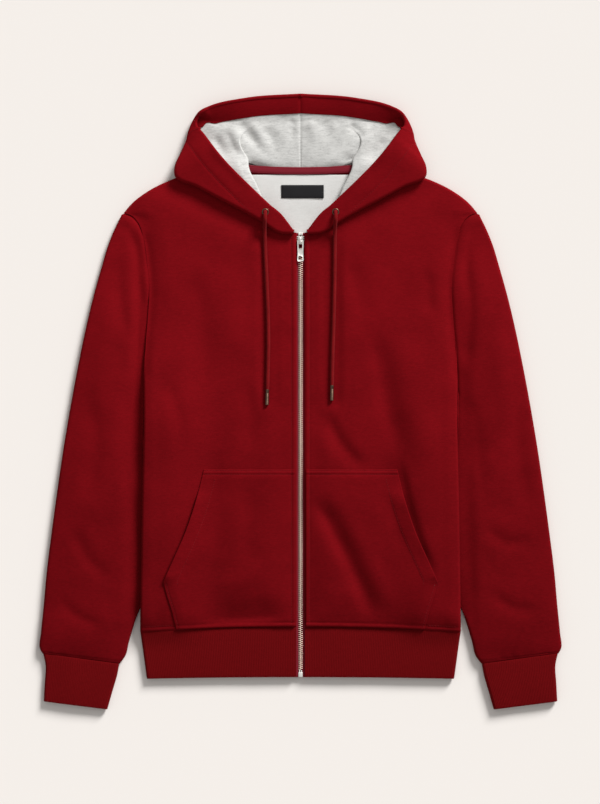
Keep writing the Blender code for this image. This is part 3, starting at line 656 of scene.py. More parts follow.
def makeTip(side, end, forward):
    # a metal ferrule with a rolled mouth, a pressed ring and a closed foot
    half = tip["diameter"] / 2
    length = tip["length"]
    mouth = [(-0.35, 1.2), (-0.1, 0.3), (0.15, 0.0), (0.3, 0.5), (0.1, 1.1), (0.0, 1.6), (0.0, 4.2),
             (-0.25, 4.6), (-0.25, 5.3), (0.0, 5.7)]
    foot = [(0.0, -1.8), (0.15, -1.4), (0.1, -0.5), (-0.5, 0.0)]
    profile = ([(0.0, 1.2)] + [(half + out, place) for out, place in mouth]
               + [(half + out, length + place) for out, place in foot] + [(0.0, length)])
    along = Vector(forward)
    bm = turnedPart(profile, 28, False, Vector(end) - along * tip["overCord"], along)
    piece = bmeshObject("cordTip" + side.title(), bm, "antique", 40.0)
    return settle(piece, ["cord_tip_" + side])


# the body's form

body = {
    "fleece": 2.5,
    "stack": 8.6,        # height of two fleece walls that lie on each other
    "lift": 9.1,         # the sides lie this much higher, on the tucked sleeves
    "liftTop": (130.0, -55.0),
    "liftBottom": (-292.0, -345.0),
    "liftFull": 36.0,
    "liftEnd": 110.0,
    "hemHalf": 224.0,
    "hemMiddle": -313.4,
    "hemDrop": 6.9,
    "hemEndHalf": 215.0,
    "hemEndMiddle": -383.6,
    "hemEndDrop": 2.4,
    "zipEdge": 6.0,
    "frontNeckY": 237.0,
    "backNeckY": 325.0,
    "curlFrom": 20.0,
    "curlTo": 120.0,
    "shoulderShare": 0.52,
    "edgeInset": 4.2,    # of the last rows and columns, where an edge lies flat
    "topInset": 4.3,
    "topRow": 4.35,      # of the last row below the shoulder's fold
    "frontSpacing": 3.0,   # between rows and columns of the grids
    "backSpacing": 5.6,
    "neckRoom": (86.0, 225.0),   # the back is even in here, under the neck's pieces
    "seamGap": 0.3,
    "zipStitch": 12.5,
    "seamDip": 1.5,      # how far a sewn edge is pressed down
    "seamRidge": 0.85,   # height of the wavy ridge over the hem seam
    "loft": 2.6,         # how far the middle of each front stands up
    "sideRoll": 1.6,     # the same beside the sleeves
}
armhole = [(217, 76), (213.5, 119), (211.5, 163), (215, 199), (220, 232), (226, 250), (236, 261),
           (247.2, 264.8)]
sideLine = smoothRoute([(224, -320.3), (221.5, -160), (219, -2), (219.3, 20)] + armhole)
armholeLine = smoothRoute([(219, 10)] + armhole)
shoulderLine = smoothRoute([(247.2, 264.8), (236, 278), (213.5, 295), (174, 313.7), (130, 326),
                            (90, 335)])
frontNeckLine = smoothRoute([(90, 335), (85.5, 325), (80, 315), (72, 302), (61, 284), (46, 266.5),
                             (27, 244), (6, 237)])
backNeckLine = smoothRoute([(90, 335), (60, 328.5), (30, 325.7), (0, 325)])
curlRadius = (body["stack"] - body["fleece"]) / 2
middleLevel = body["stack"] / 2


def sideX(y):
    lowest = sideLine[0][0, 1]
    below = (lowest - y) / (lowest - body["hemEndMiddle"] + body["hemEndDrop"])
    hem = body["hemHalf"] + (body["hemEndHalf"] - body["hemHalf"]) * below
    return np.where(y < lowest, hem, readRoute(sideLine, fractionAtY(sideLine, y))[..., 0])


def lift(x, y):
    top, topEnd = body["liftTop"]
    bottom, bottomEnd = body["liftBottom"]
    along = ease((top - y) / (top - topEnd)) * ease((y - bottomEnd) / (bottom - bottomEnd))
    inset = sideX(y) - np.abs(x)
    slope = body["liftEnd"] - body["liftFull"]
    return body["lift"] * along * (1.0 - ease((inset - body["liftFull"]) / slope))


def hemSeamY(x):
    return body["hemMiddle"] - body["hemDrop"] * (x / body["hemHalf"]) ** 2


# folds of the fronts: height, width on the left and on the right, fade, points
frontFolds = [
    (-6, 16, 11, 0.2, [(20, -128), (49.7, -185.5), (74.9, -237.3), (88.2, -266.7),
                             (101.5, -305.9)]),
    (1.8, 14, 18, 0.25, [(56, -150), (88, -208), (116, -268), (126, -306)]),
    (-3.6, 10, 13, 0.3, [(34, -6), (50, -48), (92, -98)]),
    (-3.8, 6, 32, 0.25, [(136, -72), (144, -112), (156, -160), (172, -208),
                             (190.0, -250.0)]),
    (-3.2, 16, 13, 0.3, [(96, 118), (112, 50), (126.7, -24.5), (135, -52.5), (143, -84)]),
    (2, 22, 18, 0.3, [(132, 110), (148, 40), (160, -30), (172, -96)]),
    (-2.2, 8, 10, 0.3, [(179, 188), (181, 118)]),
    (-2.2, 16, 13, 0.3, [(64, 205), (80, 160), (90, 110)]),
    (-5.4, 30, 10, 0.35, [(-146, -308), (-84, -304), (-12, -290)]),
    (1.6, 16, 14, 0.3, [(-130, -258), (-84, -248), (-40, -226)]),
    (-2.3, 15, 18, 0.3, [(-150, -180), (-128, -120), (-120, -60)]),
    (1.6, 18, 16, 0.3, [(-104, -240), (-90, -170), (-98, -120)]),
    (-2.3, 16, 20, 0.3, [(-160, 200), (-140, 130), (-134, 60), (-146, -6)]),
    (1.8, 20, 22, 0.3, [(-110, 200), (-96, 130), (-100, 50)]),
    (-2, 12, 15, 0.3, [(-78, 40), (-70, -20), (-76, -70)]),
    (-1.8, 10, 12, 0.3, [(-190, 40), (-170, -20), (-168, -80)]),
    (1.2, 14, 18, 0.3, [(30, -30), (36, -60), (28, -110)]),
]
armholeFolds = [
    (-2.2, 7, 9, 0.12, [(218, 20), (215, 76), (211, 119), (208.5, 163), (212, 199),
                            (217, 230), (223, 249)]),
]


def frontFields(x, y):
    # height of the fronts' cloth over its even level
    inner = np.abs(x)
    seam = y - hemSeamY(x)
    belowLapel = 236.0 + 0.517 * (inner - 32.8) - y
    height = foldHeights(x, y, frontFolds)
    height += foldHeights(inner, y, armholeFolds)
    height += 0.7 * softNoise(x, y, 62.0, 3) + 0.35 * softNoise(x, y, 24.0, 5)
    fromSide = sideX(y) - inner
    room = ease((fromSide - 3.0) / 30.0) * ease((inner - 14.0) / 34.0) * ease((seam - 8.0) / 40.0)
    height += body["loft"] * room * ease((belowLapel - 4.0) / 40.0)
    height += body["sideRoll"] * bell(fromSide - 11.0, 10.0) * ease((120.0 - y) / 90.0)
    cordPath = ease((64.0 - inner) / 14.0) * ease((inner - 22.0) / 12.0) * ease((y + 16.0) / 20.0)
    height *= 1.0 - 0.85 * cordPath
    height = np.where(height > 0.0, height * ease(belowLapel / 30.0), height)   # under the lapel
    height -= 0.55 * bell(inner - body["zipStitch"], 1.5) * ease((262.0 - y) / 20.0)
    height += 0.5 * bell(inner - 9.3, 2.4)
    height -= 1.2 * np.exp(-(inner - body["zipEdge"]) / 1.2)
    height *= 0.25 + 0.75 * ease(seam / 14.0)
    ridge = 0.75 + 0.35 * softNoise(x, y, 9.0, 7)
    height += body["seamRidge"] * ridge * bell(seam - 2.6 - 0.5 * softNoise(x, y, 13.0, 9), 1.7)
    height -= 0.9 * bell(np.maximum(seam, 0.0), 1.1) + 0.7 * bell(seam - 6.0, 1.4)
    return height


def curlInset(angle, thickness, radius):
    turn = np.radians(angle)
    return thickness / 2 + radius * (1.0 - np.cos(turn)), radius * np.sin(turn)


def bodyPanel(neckLine, middleX, neckY, upper, spacing, dense):
    # right half of a body panel, with rows from the hem seam to the shoulder
    def top(u):
        low = np.minimum(u / body["shoulderShare"], 1.0)
        high = np.maximum((u - body["shoulderShare"]) / (1.0 - body["shoulderShare"]), 0.0)
        return np.where((u < body["shoulderShare"])[..., None], readRoute(shoulderLine, low),
                        readRoute(neckLine, high))

    def bottom(u):
        x = body["hemHalf"] + (middleX - body["hemHalf"]) * u
        return np.stack([x, hemSeamY(x)], axis=-1)

    def middle(v):
        low = hemSeamY(middleX)
        return np.stack([np.full_like(v, middleX), low + (neckY - low) * v], axis=-1)

    def patch(u, v):
        side = readRoute(sideLine, v)
        ones = np.ones_like(u)
        return ((1 - v) * bottom(u).T + v * top(u).T + (1 - u) * side.T + u * middle(v).T
                - (1 - u) * (1 - v) * bottom(0 * ones).T - u * (1 - v) * bottom(ones).T
                - (1 - u) * v * top(0 * ones).T - u * v * top(ones).T)

    height = neckY - hemSeamY(middleX)
    mainRows = spreadOut(0.0, 1.0, int(height / spacing), [(0.0, 0.014, 1.2), (0.9, 0.12, 0.35)])
    rows = [(v, None) for v in mainRows] + [(1.0, angle) for angle in np.linspace(90.0, 0.0, 9)]
    curlInsets, curlRises = curlInset(np.linspace(0.0, 90.0, 8), body["fleece"], curlRadius)
    width = body["hemHalf"] - middleX
    inner = spreadOut(curlInsets[-1], width, int(width / spacing), dense)[1:]
    inner = (inner - curlInsets[-1]) / (width - curlInsets[-1])
    grid = []
    for v, angle in rows:
        if angle is None:
            v = v * (1.0 - body["topRow"] / height)
        sidePoint = readRoute(sideLine, v)
        sideCurl = 1.0 - ease((sidePoint[1] - body["curlFrom"]) / (body["curlTo"] - body["curlFrom"]))
        rowWidth = sidePoint[0] - middleX
        flatInsets = np.linspace(0.0, body["edgeInset"], len(curlInsets))
        insets = sideCurl * curlInsets + (1.0 - sideCurl) * flatInsets
        shares = 1.0 - sideCurl * (1.0 - curlRises / curlRadius)
        insets = np.concatenate([insets, insets[-1] + (rowWidth - insets[-1]) * inner])
        shares = np.concatenate([shares, np.ones(len(inner))])
        u = insets / rowWidth
        down = np.zeros_like(u)
        topShare = np.ones_like(u)
        if angle is not None:
            shoulder = 1.0 - ease((u - body["shoulderShare"] + 0.12) / 0.09)
            inset, rise = curlInset(angle, body["fleece"], curlRadius)
            down = (shoulder * inset + (1.0 - shoulder) * body["topInset"] * angle / 90.0) / height
            topShare = 1.0 - shoulder * (1.0 - rise / curlRadius)
        x, y = patch(u, v - down)
        share = np.minimum(shares, topShare)
        grid.append(gridOf(x, y, middleLevel + upper * curlRadius * share + lift(x, y), share))
    return np.array(grid)


def shareOnTop(value, low):
    # 0 up to a low share of the way up a fold, 1 on the cloth's flat top
    return ease((value - low) / (1.0 - low))


def makeFronts():
    made = {}
    half = bodyPanel(frontNeckLine, body["zipEdge"], body["frontNeckY"], 1.0, body["frontSpacing"],
                     [(218, 8, 2), (0, 6, 1)])
    for side, sign in sides.items():
        grid = half[..., :3] * (sign, 1.0, 1.0)
        grid[..., 2] += frontFields(grid[..., 0], grid[..., 1]) * shareOnTop(half[..., 3], 0.35)
        piece = clothPiece("front" + side.title(), grid, "fleece", body["fleece"], 0.9)
        made[side] = settle(piece, ["front_" + side])
    print("fronts")
    return made


backFolds = [
    (1.2, 16, 20, 0.3, [(-150, 190), (-120, 60), (-140, -80)]),
    (1, 14, 18, 0.3, [(120, 210), (150, 90), (130, -40)]),
    (1.3, 12, 16, 0.3, [(-60, 20), (-20, -120), (-50, -250)]),
    (1.1, 18, 14, 0.3, [(40, 150), (70, -60), (110, -230)]),
    (0.9, 12, 12, 0.3, [(-190, -60), (-150, -160), (-170, -270)]),
]


def makeBack():
    half = bodyPanel(backNeckLine, 0.0, body["backNeckY"], -1.0, body["backSpacing"],
                     [(0.0, 6.0, 1.0)])
    full = bothHalves(half)
    grid = full[..., :3]
    x, y = grid[..., 0], grid[..., 1]
    height = np.maximum(foldHeights(x, y, backFolds) + 0.3 * softNoise(x, y, 40.0, 21), 0.0)
    height += 1.0 * bell(np.maximum(y - hemSeamY(x), 0.0), 3.0)
    underNeck = (np.abs(x) < body["neckRoom"][0]) & (y > body["neckRoom"][1])
    height = np.where(underNeck, 0.0, height)
    grid[..., 2] += height * shareOnTop(full[..., 3], 0.35)
    print("back")
    return settle(clothPiece("backPanel", grid, "fleece", body["fleece"], 0.9), ["back"])


waistband = {
    "thickness": 2.8,
    "ribPitch": 2.4,
    "ribHeight": 0.15,
    "rows": 12,
    "puff": 0.7,
    "sunk": 0.3,   # at its seam and at its edge
}


def addRibs(grid, normals, pattern, height, seamShare):
    # ridges down the rib, lower at the seam and at the outer edge
    fade = np.ones(len(grid))
    fade[0], fade[-1] = seamShare, 0.5
    return grid + normals * (height * pattern[None, :, None] * fade[:, None, None])


def makeWaistband():
    thickness = waistband["thickness"]
    radius = (body["stack"] - thickness) / 2
    fold = thickness / 2 + radius

    def profile(halfWidth):
        side = halfWidth - fold
        front = [(x, radius) for x in np.linspace(body["zipEdge"], side, 60)]
        curl = [(side + radius * math.cos(angle), radius * math.sin(angle))
                for angle in np.radians(np.linspace(90.0, -90.0, 25)[1:-1])]
        back = [(x, -radius) for x in np.linspace(side, 0.0, 60)]
        return np.array(front + curl + back)

    columns = int(lengthsAlong(profile(220.0))[-1] / waistband["ribPitch"]) * 4 + 1
    grid = []
    for share in spreadOut(0.0, 1.0, waistband["rows"], [(0.0, 0.08, 1.0), (1.0, 0.08, 1.0)]):
        halfWidth = body["hemHalf"] + (body["hemEndHalf"] - body["hemHalf"]) * share
        points = profile(halfWidth)
        along = lengthsAlong(points)
        x, rise = pointsAt(points, along, np.linspace(0.0, along[-1], columns)).T
        seam = hemSeamY(x) - body["seamGap"] / 2
        end = body["hemEndMiddle"] - body["hemEndDrop"] * (x / halfWidth) ** 2
        y = seam + (end - seam) * share
        puff = waistband["puff"] * max(math.sin(math.pi * share), 0.0) ** 0.6 - waistband["sunk"]
        upper = np.where(rise > 0, rise / radius * puff + 0.35 * softNoise(x, y, 45.0, 8), 0.0)
        grid.append(gridOf(x, y, middleLevel + rise + lift(x, y) + upper))
    full = bothHalves(np.array(grid))
    normals = gridNormals(full)
    if normals[0, 5, 2] < 0:
        normals = -normals
    k = np.arange(full.shape[1])
    pattern = np.cos(np.pi / 2 * np.minimum(k, full.shape[1] - 1 - k))
    full = addRibs(full, normals, pattern, waistband["ribHeight"], 0.4)
    print("waistband", columns * 2, "columns")
    return settle(clothPiece("hemBand", full, "rib", thickness - 0.5), ["waistband"])


# sleeves and cuffs

sleeve = {
    "outer": smoothRoute([(248, 264.2), (262.5, 236), (276.5, 194), (287.7, 155), (297.5, 115.5),
                          (306, 76), (321, -2), (334, -80.5), (345, -159), (355, -237),
                          (362, -316), (364.7, -343), (361, -350)]),
    "first": (249.6, 261.6),
    # place in y on the armhole, and on the outer edge
    "armholeRows": [(258, 246), (240, 224), (205, 190), (160, 146), (110, 98),
                    (60, 52), (20, 18)],
    # inner x, inner y, place in y on the outer edge
    "lowerRows": [(219, 8, 5), (218.8, -10, -12), (219, -30, -32), (219.2, -48, -50),
                  (213, -75, -76), (192, -125, -120), (190, -190, -182),
                  (206, -250, -240), (227, -294, -284), (240, -335, -322),
                  (245.5, -355, -343), (252.6, -364.6, -350)],
    "closedBelow": 8.0,
    "openAbove": 20.0,
    "dome": 4.0,
    "valley": {"left": 3.4, "right": 2.4},   # depth beside the body's edge
    "valleyWidth": (6.0, 20.0),              # its flat bottom, then its outer slope
    "deepest": 3.5,
    "rowSpacing": 3.3,
    "columnSpacing": 3.0,
}
cuff = {
    # outer x, outer y, inner x, inner y
    "rows": [(360.2, -350.6, 253.4, -365.2), (357, -365, 255.6, -378), (358, -392, 263, -404),
             (359.4, -417.5, 270, -428.8)],
    "thickness": 2.8,
    "ribPitch": 2.3,
    "ribHeight": 0.15,
    "steps": 22,
}
# folds of the sleeves, for the side at +X or -X: height, widths, fade, points
sleeveFolds = {
    "left": [
        (-4.2, 9, 8, 0.14, [(-241, 252), (-232.5, 232), (-227, 205.1), (-225, 161.7),
                               (-223, 108.5), (-224.7, 44.1), (-228, -10)]),
        (-2.8, 15, 11, 0.25, [(-236, 60), (-240, -40), (-238, -120), (-230, -210)]),
        (1.6, 16, 16, 0.3, [(-268, 160), (-276, 60), (-290, -40)]),
        (-2.1, 12, 14, 0.3, [(-296, 30), (-286, -60), (-300, -150)]),
        (-1.9, 9, 12, 0.3, [(-254, 212), (-251, 142), (-239, 77)]),
        (-2.2, 10, 10, 0.3, [(-318, -170), (-300, -215), (-262, -250)]),
        (-1.8, 8, 10, 0.3, [(-340, -270), (-310, -300), (-270, -312)]),
    ],
    "right": [
        (-3, 9, 12, 0.2, [(235, 228), (232, 190), (236, 150), (236, 96),
                                (232.0, 40.0)]),
        (-2.3, 12, 14, 0.3, [(236, 20), (246, -60), (256, -150)]),
        (1.7, 16, 16, 0.3, [(270, 140), (282, 40), (298, -60)]),
        (-2.2, 12, 14, 0.3, [(300, 20), (306, -80), (320, -160)]),
        (-2, 10, 10, 0.3, [(252, -170), (290, -196), (326, -190)]),
        (-2, 9, 11, 0.3, [(262, -262), (300, -288), (342, -286)]),
    ],
}


def armholePoint(fraction):
    step = 0.002
    ahead = readRoute(sideLine, min(fraction + step, 1.0)) - readRoute(sideLine, fraction - step)
    outward = np.array([ahead[1], -ahead[0]]) / np.linalg.norm(ahead)
    return readRoute(sideLine, fraction) + outward * body["seamGap"] * 0.5


def sleeveRows():
    # pairs of outer and inner points down the sleeve, with how open the tube is there
    bodyHeight = body["frontNeckY"] - hemSeamY(body["zipEdge"])
    topInset = curlInset(90.0, body["fleece"], curlRadius)[0]
    rows = [(*sleeve["first"], *armholePoint(1.0 - 0.25 * topInset / bodyHeight))]
    inner = [(*armholePoint(float(fractionAtY(sideLine, innerY))), outerY)
             for innerY, outerY in sleeve["armholeRows"]]
    for innerX, innerY, outerY in inner + sleeve["lowerRows"]:
        outer = readRoute(sleeve["outer"], fractionAtY(sleeve["outer"], outerY))
        rows.append((*outer, innerX, innerY))
    route = smoothRoute(rows, 24)
    count = int(650.0 / sleeve["rowSpacing"])
    pairs = readRoute(route, spreadOut(0.0, 1.0, count, [(1.0, 0.02, 1.2)]))
    span = sleeve["openAbove"] - sleeve["closedBelow"]
    opened = ease((pairs[:, 3] - sleeve["closedBelow"]) / span)
    return [(pair[:2], pair[2:], share) for pair, share in zip(pairs, opened)]


def flatTube(rows, thickness, columnsAcross):
    # a tube lying flat, round from the inner edge over the top to the outer edge and back below.
    # The fourth value is 1 on the top, -1 below, less on the folds, and the fifth the place across
    radius = (body["stack"] - thickness) / 2
    fold = thickness / 2 + radius
    arc = np.linspace(0.0, 90.0, 7)
    grid = []
    for outer, inner, opened in rows:
        length = np.linalg.norm(inner - outer)
        inward = (inner - outer) / length
        small = min(1.0, length / 11.0)
        arcInset, arcRise = curlInset(arc, thickness, radius)
        arcInset = arcInset * small
        flatInset = np.linspace(0.0, body["edgeInset"], len(arc))
        innerInset = arcInset * (1 - opened) + flatInset * opened * small
        innerRise = arcRise * (1 - opened) + radius * opened
        start = length - max(innerInset[-1], fold * small * (1 - opened))
        across = np.linspace(start, fold * small, columnsAcross)[1:-1]
        distance = np.concatenate([length - innerInset, across, arcInset[::-1]])
        rise = np.concatenate([innerRise, np.full(len(across), radius), arcRise[::-1]])
        distance = np.concatenate([distance, distance[-2::-1]])
        rise = np.concatenate([rise, -rise[-2::-1]])
        x, y = outer[:, None] + inward[:, None] * distance
        grid.append(gridOf(x, y, middleLevel + rise, rise / radius, distance / length))
    return np.array(grid)


def makeSleeves():
    made = {}
    base = flatTube(sleeveRows(), body["fleece"], int(110.0 / sleeve["columnSpacing"]))
    topSide, across = base[..., 3], base[..., 4]
    nearCuff = np.linspace(len(base) * sleeve["rowSpacing"], 0.0, len(base))[:, None]
    seamRoute = readRoute(armholeLine, np.linspace(0, 1, 40))
    for side, sign in sides.items():
        grid = base[..., :3] * (sign, 1.0, 1.0)
        x, y = grid[..., 0], grid[..., 1]
        beside = np.abs(x) - sideX(y)
        clear = np.where(y > -4.0, 1.0, ease((beside - 5.0) / 24.0))   # of the body's edge
        beside = np.maximum(beside, 0.0)
        dome = sleeve["dome"] * (4.0 * across * (1.0 - across)) ** 0.8 * ease((230.0 - y) / 120.0)
        dome = dome * ease((nearCuff + 3.0) / 48.0)
        height = dome + foldHeights(x, y, sleeveFolds[side]) + 0.5 * softNoise(x, y, 48.0, 11)
        height += 0.3 * softNoise(x, y, 20.0, 12)
        fromSeam = nearRoute(np.abs(x), y, seamRoute)[0]
        height -= body["seamDip"] * bell(fromSeam, 3.0)
        height += 0.9 * bell(fromSeam - 10.0, 6.0) * ease((y - 150.0) / 40.0)
        bottom, slope = sleeve["valleyWidth"]
        height -= (sleeve["valley"][side] * (1.0 - ease((beside - bottom) / slope))
                   * ease((176.0 - y) / 70.0) * ease((y + 318.0) / 30.0))
        height = np.maximum(height, -sleeve["deepest"])
        wobble = softNoise(across * 100.0, nearCuff * 0.25, 7.0, 14 + int(sign))
        height += bell(nearCuff - 8.0, 13.0) * (0.5 * wobble + 0.2) * ease(nearCuff / 7.0)
        height -= (1.1 - 0.3 * wobble) * bell(nearCuff, 1.5) + 0.7 * bell(nearCuff - 6.0, 1.8)
        grid[..., 2] += height * shareOnTop(topSide, 0.2) * np.where(height > 0, clear, 1.0)
        under = np.maximum(0.8 * softNoise(x, y, 42.0, 15), 0.0) + 1.2 * bell(nearCuff, 3.5)
        grid[..., 2] += under * shareOnTop(-topSide, 0.2)
        piece = clothPiece("sleeve" + side.title(), grid, "fleece", body["fleece"], 0.9, welded=True)
        made[side] = settle(piece, ["sleeve_" + side])
    print("sleeves")
    return made


def makeCuffs():
    made = {}
    pairs = readRoute(smoothRoute(cuff["rows"]),
                      spreadOut(0.0, 1.0, cuff["steps"], [(0.0, 0.06, 1.0), (1.0, 0.05, 1.0)]))
    fine = flatTube([(pair[:2], pair[2:], 0.0) for pair in pairs], cuff["thickness"], 60)
    alongs = [lengthsAlong(line[:, :3]) for line in fine]
    columns = int(np.mean([along[-1] for along in alongs]) / cuff["ribPitch"]) * 4 + 1
    base = np.array([pointsAt(line, along, np.linspace(0.0, along[-1], columns))
                     for line, along in zip(fine, alongs)])
    share = np.linspace(0.0, 1.0, len(base))[:, None]
    across = base[..., 4]
    wall = cuff["thickness"] - 0.5   # without its ribs
    for side, sign in sides.items():
        grid = base[..., :3] * (sign, 1.0, 1.0)
        puff = 0.8 * np.sin(math.pi * share) ** 0.6 - 0.6 + 1.0 * (4 * across * (1 - across)) ** 0.8
        puff = puff + 0.5 * softNoise(grid[..., 0], grid[..., 1], 30.0, 31)
        grid[..., 2] += np.clip(base[..., 3], 0.0, 1.0) * puff
        normals = gridNormals(grid, closed=True)
        if np.mean(np.sum(normals * (grid - grid.mean(axis=1, keepdims=True)), axis=2)) < 0:
            normals = -normals
        grid = addRibs(grid, normals, np.cos(np.pi / 2 * np.arange(columns)), cuff["ribHeight"], 0.3)
        grid[..., 2] = np.maximum(grid[..., 2], wall / 2)
        grid[:, -1] = grid[:, 0]
        piece = clothPiece("cuff" + side.title(), grid, "rib", wall, welded=True)
        made[side] = settle(piece, ["cuff_" + side])
    print("cuffs")
    return made


# pockets

pocket = {
    # y and x of the outer outline
    "lower": [(-318.6, 173.3), (-292, 179.2), (-270, 186), (-250, 191.4)],
    "upper": [(-250, 191.4), (-218, 177), (-179, 160), (-135, 145.5), (-93.5, 135.2)],
    "bottom": -318.6,
    "cornerY": -250.0,
    "top": -93.5,
    "onSeam": 0.6,       # of the lowest row, over the hem seam
    "stitchRows": (1.8, 6.9),   # below the top edge
    "innerX": 7.4,
    "thickness": 2.2,
    "gap": 0.25,
    "puff": 1.3,
    "band": 19.0,        # hem of the opening
    "lip": 1.5,
    "sideStitch": 3.6,   # from the lower outline
    "pressed": {"left": 0.5, "right": 0.2},   # by that stitching
}
pocketFolds = [
    (-1.4, 10, 12, 0.3, [(120, -120), (132, -170), (150, -215)]),
    (-1.2, 12, 12, 0.3, [(-60, -120), (-74, -170), (-66, -230)]),
    (1.2, 12, 12, 0.3, [(-120, -140), (-138, -200), (-160, -240)]),
]


def pocketOuterX(y):
    low, high = [steadyTable(np.clip(y, line[0, 0], line[-1, 0]), line[:, 0], line[:, 1:])[:, 0]
                 for line in (np.array(pocket["lower"]), np.array(pocket["upper"]))]
    return np.where(y < pocket["cornerY"], low, high)


def makePockets():
    made = {}
    bottom, corner, top = pocket["bottom"], pocket["cornerY"], pocket["top"]
    rows = np.concatenate([spreadOut(bottom, corner, 27, [(bottom, 6.0, 0.8), (corner, 6.0, 0.6)]),
                           spreadOut(corner, top, 68, [(top, 12.0, 1.8), (corner, 6.0, 0.6)])[1:]])
    insets = np.linspace(0.0, 26.0, 22)
    grid = []
    for y, outerX in zip(rows, pocketOuterX(rows)):
        width = outerX - pocket["innerX"]
        rest = spreadOut(insets[-1], width, 46, [(width, 7.0, 1.5)])[1:]
        x = outerX - np.concatenate([insets, rest])
        bend = ease((-300.0 - y) / (-300.0 - bottom))   # the lowest rows follow the hem seam
        grid.append(gridOf(x, y + bend * (hemSeamY(x) + pocket["onSeam"] - bottom)))
    width, y = np.moveaxis(np.array(grid), -1, 0)
    inset = pocketOuterX(y.ravel()).reshape(y.shape) - width
    topEdge = top - y
    seam = y - hemSeamY(width)
    opening = ease((-118.0 - y) / 26.0) * ease((y + 256.0) / 16.0)
    sewn = ease(topEdge / 14.0) * ease(seam / 22.0) * ease((width - pocket["innerX"]) / 22.0)
    sewn = sewn * (opening + (1.0 - opening) * ease(inset / 16.0))
    for side, sign in sides.items():
        x = width * sign
        level = middleLevel + curlRadius + body["fleece"] / 2 + lift(x, y) + frontFields(x, y)
        level += pocket["gap"] + pocket["thickness"] / 2
        level += pocket["puff"] * sewn + foldHeights(x, y, pocketFolds) * sewn
        level += opening * pocket["lip"] * bell(inset, 15.0)
        level += opening * 0.7 * (1.0 - ease((inset - pocket["band"]) / 1.8)) * ease(topEdge / 8.0)
        level -= opening * 0.45 * bell(inset - pocket["band"], 1.3)
        for down in pocket["stitchRows"]:
            level -= 0.5 * bell(topEdge - down, 1.1)
        level += 0.4 * bell(topEdge - 4.4, 1.8)
        level -= 0.7 * (1.0 - opening) * bell(inset, 2.2)
        level -= (1.0 - opening) * pocket["pressed"][side] * bell(inset - pocket["sideStitch"], 1.2)
        piece = clothPiece("pocket" + side.title(), gridOf(x, y, level), "fleece", pocket["thickness"])
        made[side] = settle(piece, ["pocket_" + side])
    print("pockets")
    return made


# hood

hood = {
    "shell": 2.4,
    "jersey": 1.1,
    "gap": 0.3,
    "facing": 1.6,
    "facingWidth": 28.0,
    # the facing's width in each row of the table
    "facingWidths": [28.0] * 11 + [22.0, 23.0, 25.0, 26.0, 25.2, 25.0],
    # how far the lining stands off the shell, in each row of the table
    "liningLift": [0.0] * 7 + [0.6, 2.6, 5.0, 6.6, 7.0, 7.0, 6.4, 4.6, 2.2, 1.0],
    "facingShare": 0.6,   # of a row's length, where that is short
    "rollAllowance": 2.4,
    "rows": 190,
    "reach": 260.0,       # of the rows, about
    "crown": (0.74, 0.1),   # where the crown begins, as a share of the rows, and over how many
    "tunnel": 24.0,       # stitch line from the rim
    "rimRadius": 1.5,
    "mainColumns": 58,
    "facingColumns": 18,
    # neck x, y, z; fold x, y; rim x, y; base; radius; turn; length past the fold, or 0 where
    # the rim point gives it
    "table": [
        (7.4, 239.4, 9.2, 10.5, 234.6, 9, 239.2, 8, 3, 178, 0),
        (28.9, 245.5, 9.3, 29.5, 236.4, 25.4, 260.9, 8.1, 3.3, 178, 0),
        (48.5, 269, 9.8, 57.5, 253.5, 43, 276.5, 8.6, 3.6, 177, 0),
        (63, 286, 10.2, 84.5, 268.5, 60.8, 293.4, 9, 4, 176, 0),
        (74, 304, 10.2, 110, 281.5, 82, 314, 9, 4.4, 175, 0),
        (82, 317.5, 10.2, 145, 300.5, 103.6, 336.3, 9, 4.4, 175, 0),
        (87.5, 328, 10.3, 175.5, 316.5, 120, 356, 9, 4.4, 175, 0),
        (89.5, 332.5, 10.3, 175, 330, 127.5, 366, 7.8, 4.4, 175, 0),
        (86.5, 337, 7.4, 169, 344, 134, 375, 4, 4.4, 174, 0),
        (79, 337.5, 4, 160, 366, 139.7, 383, 0.5, 4.6, 168, 0),
        (71.5, 335.2, 2.6, 157.3, 377, 139.5, 384.5, 0.2, 4.6, 160, 11.6),
        (65, 333, 1.5, 153.5, 388, 139.7, 384, 0, 4.7, 150, 4),
        (58.5, 331.4, 1.3, 149, 397, 139.7, 384.5, 0, 5, 122, 1.5),
        (52, 329.8, 1.2, 143.5, 404.5, 136, 391, 0, 6.5, 80, 6),
        (38, 327.8, 1.2, 128, 412.3, 117, 388.8, 0, 14, 24, 18),
        (22, 326.3, 1.2, 75, 424, 70, 397.4, 0, 20, 13, 32),
        (0.2, 325.6, 1.2, 0.2, 429.6, 0.2, 403, 0, 22, 11, 34),
    ],
    # the lining's pleat in each row: its place from the neck seam, how full it is
    "pleat": [(2.5, 0), (5, 0), (2, 0.2), (-10.5, 0.9), (-11.5, 1), (-12.5, 1), (-14.5, 1),
              (-16, 1), (-12.5, 1), (-3.8, 1), (4.8, 1), (14, 1), (26.5, 1), (42.5, 1),
              (66, 0.7), (76, 0), (62, 0)],
    "pleatDroop": 0.3,
    "underTape": 5.0,
    "liningPasses": 160,
    "lowestLining": 1.2,
    "seamHalf": 0.05,     # half the gap in the centre seam
    "liningRise": 46.0,   # from the lapel's rim to the full lift
    "lapelRim": ((139.7, 384.6), (49.6, 265.7)),
}


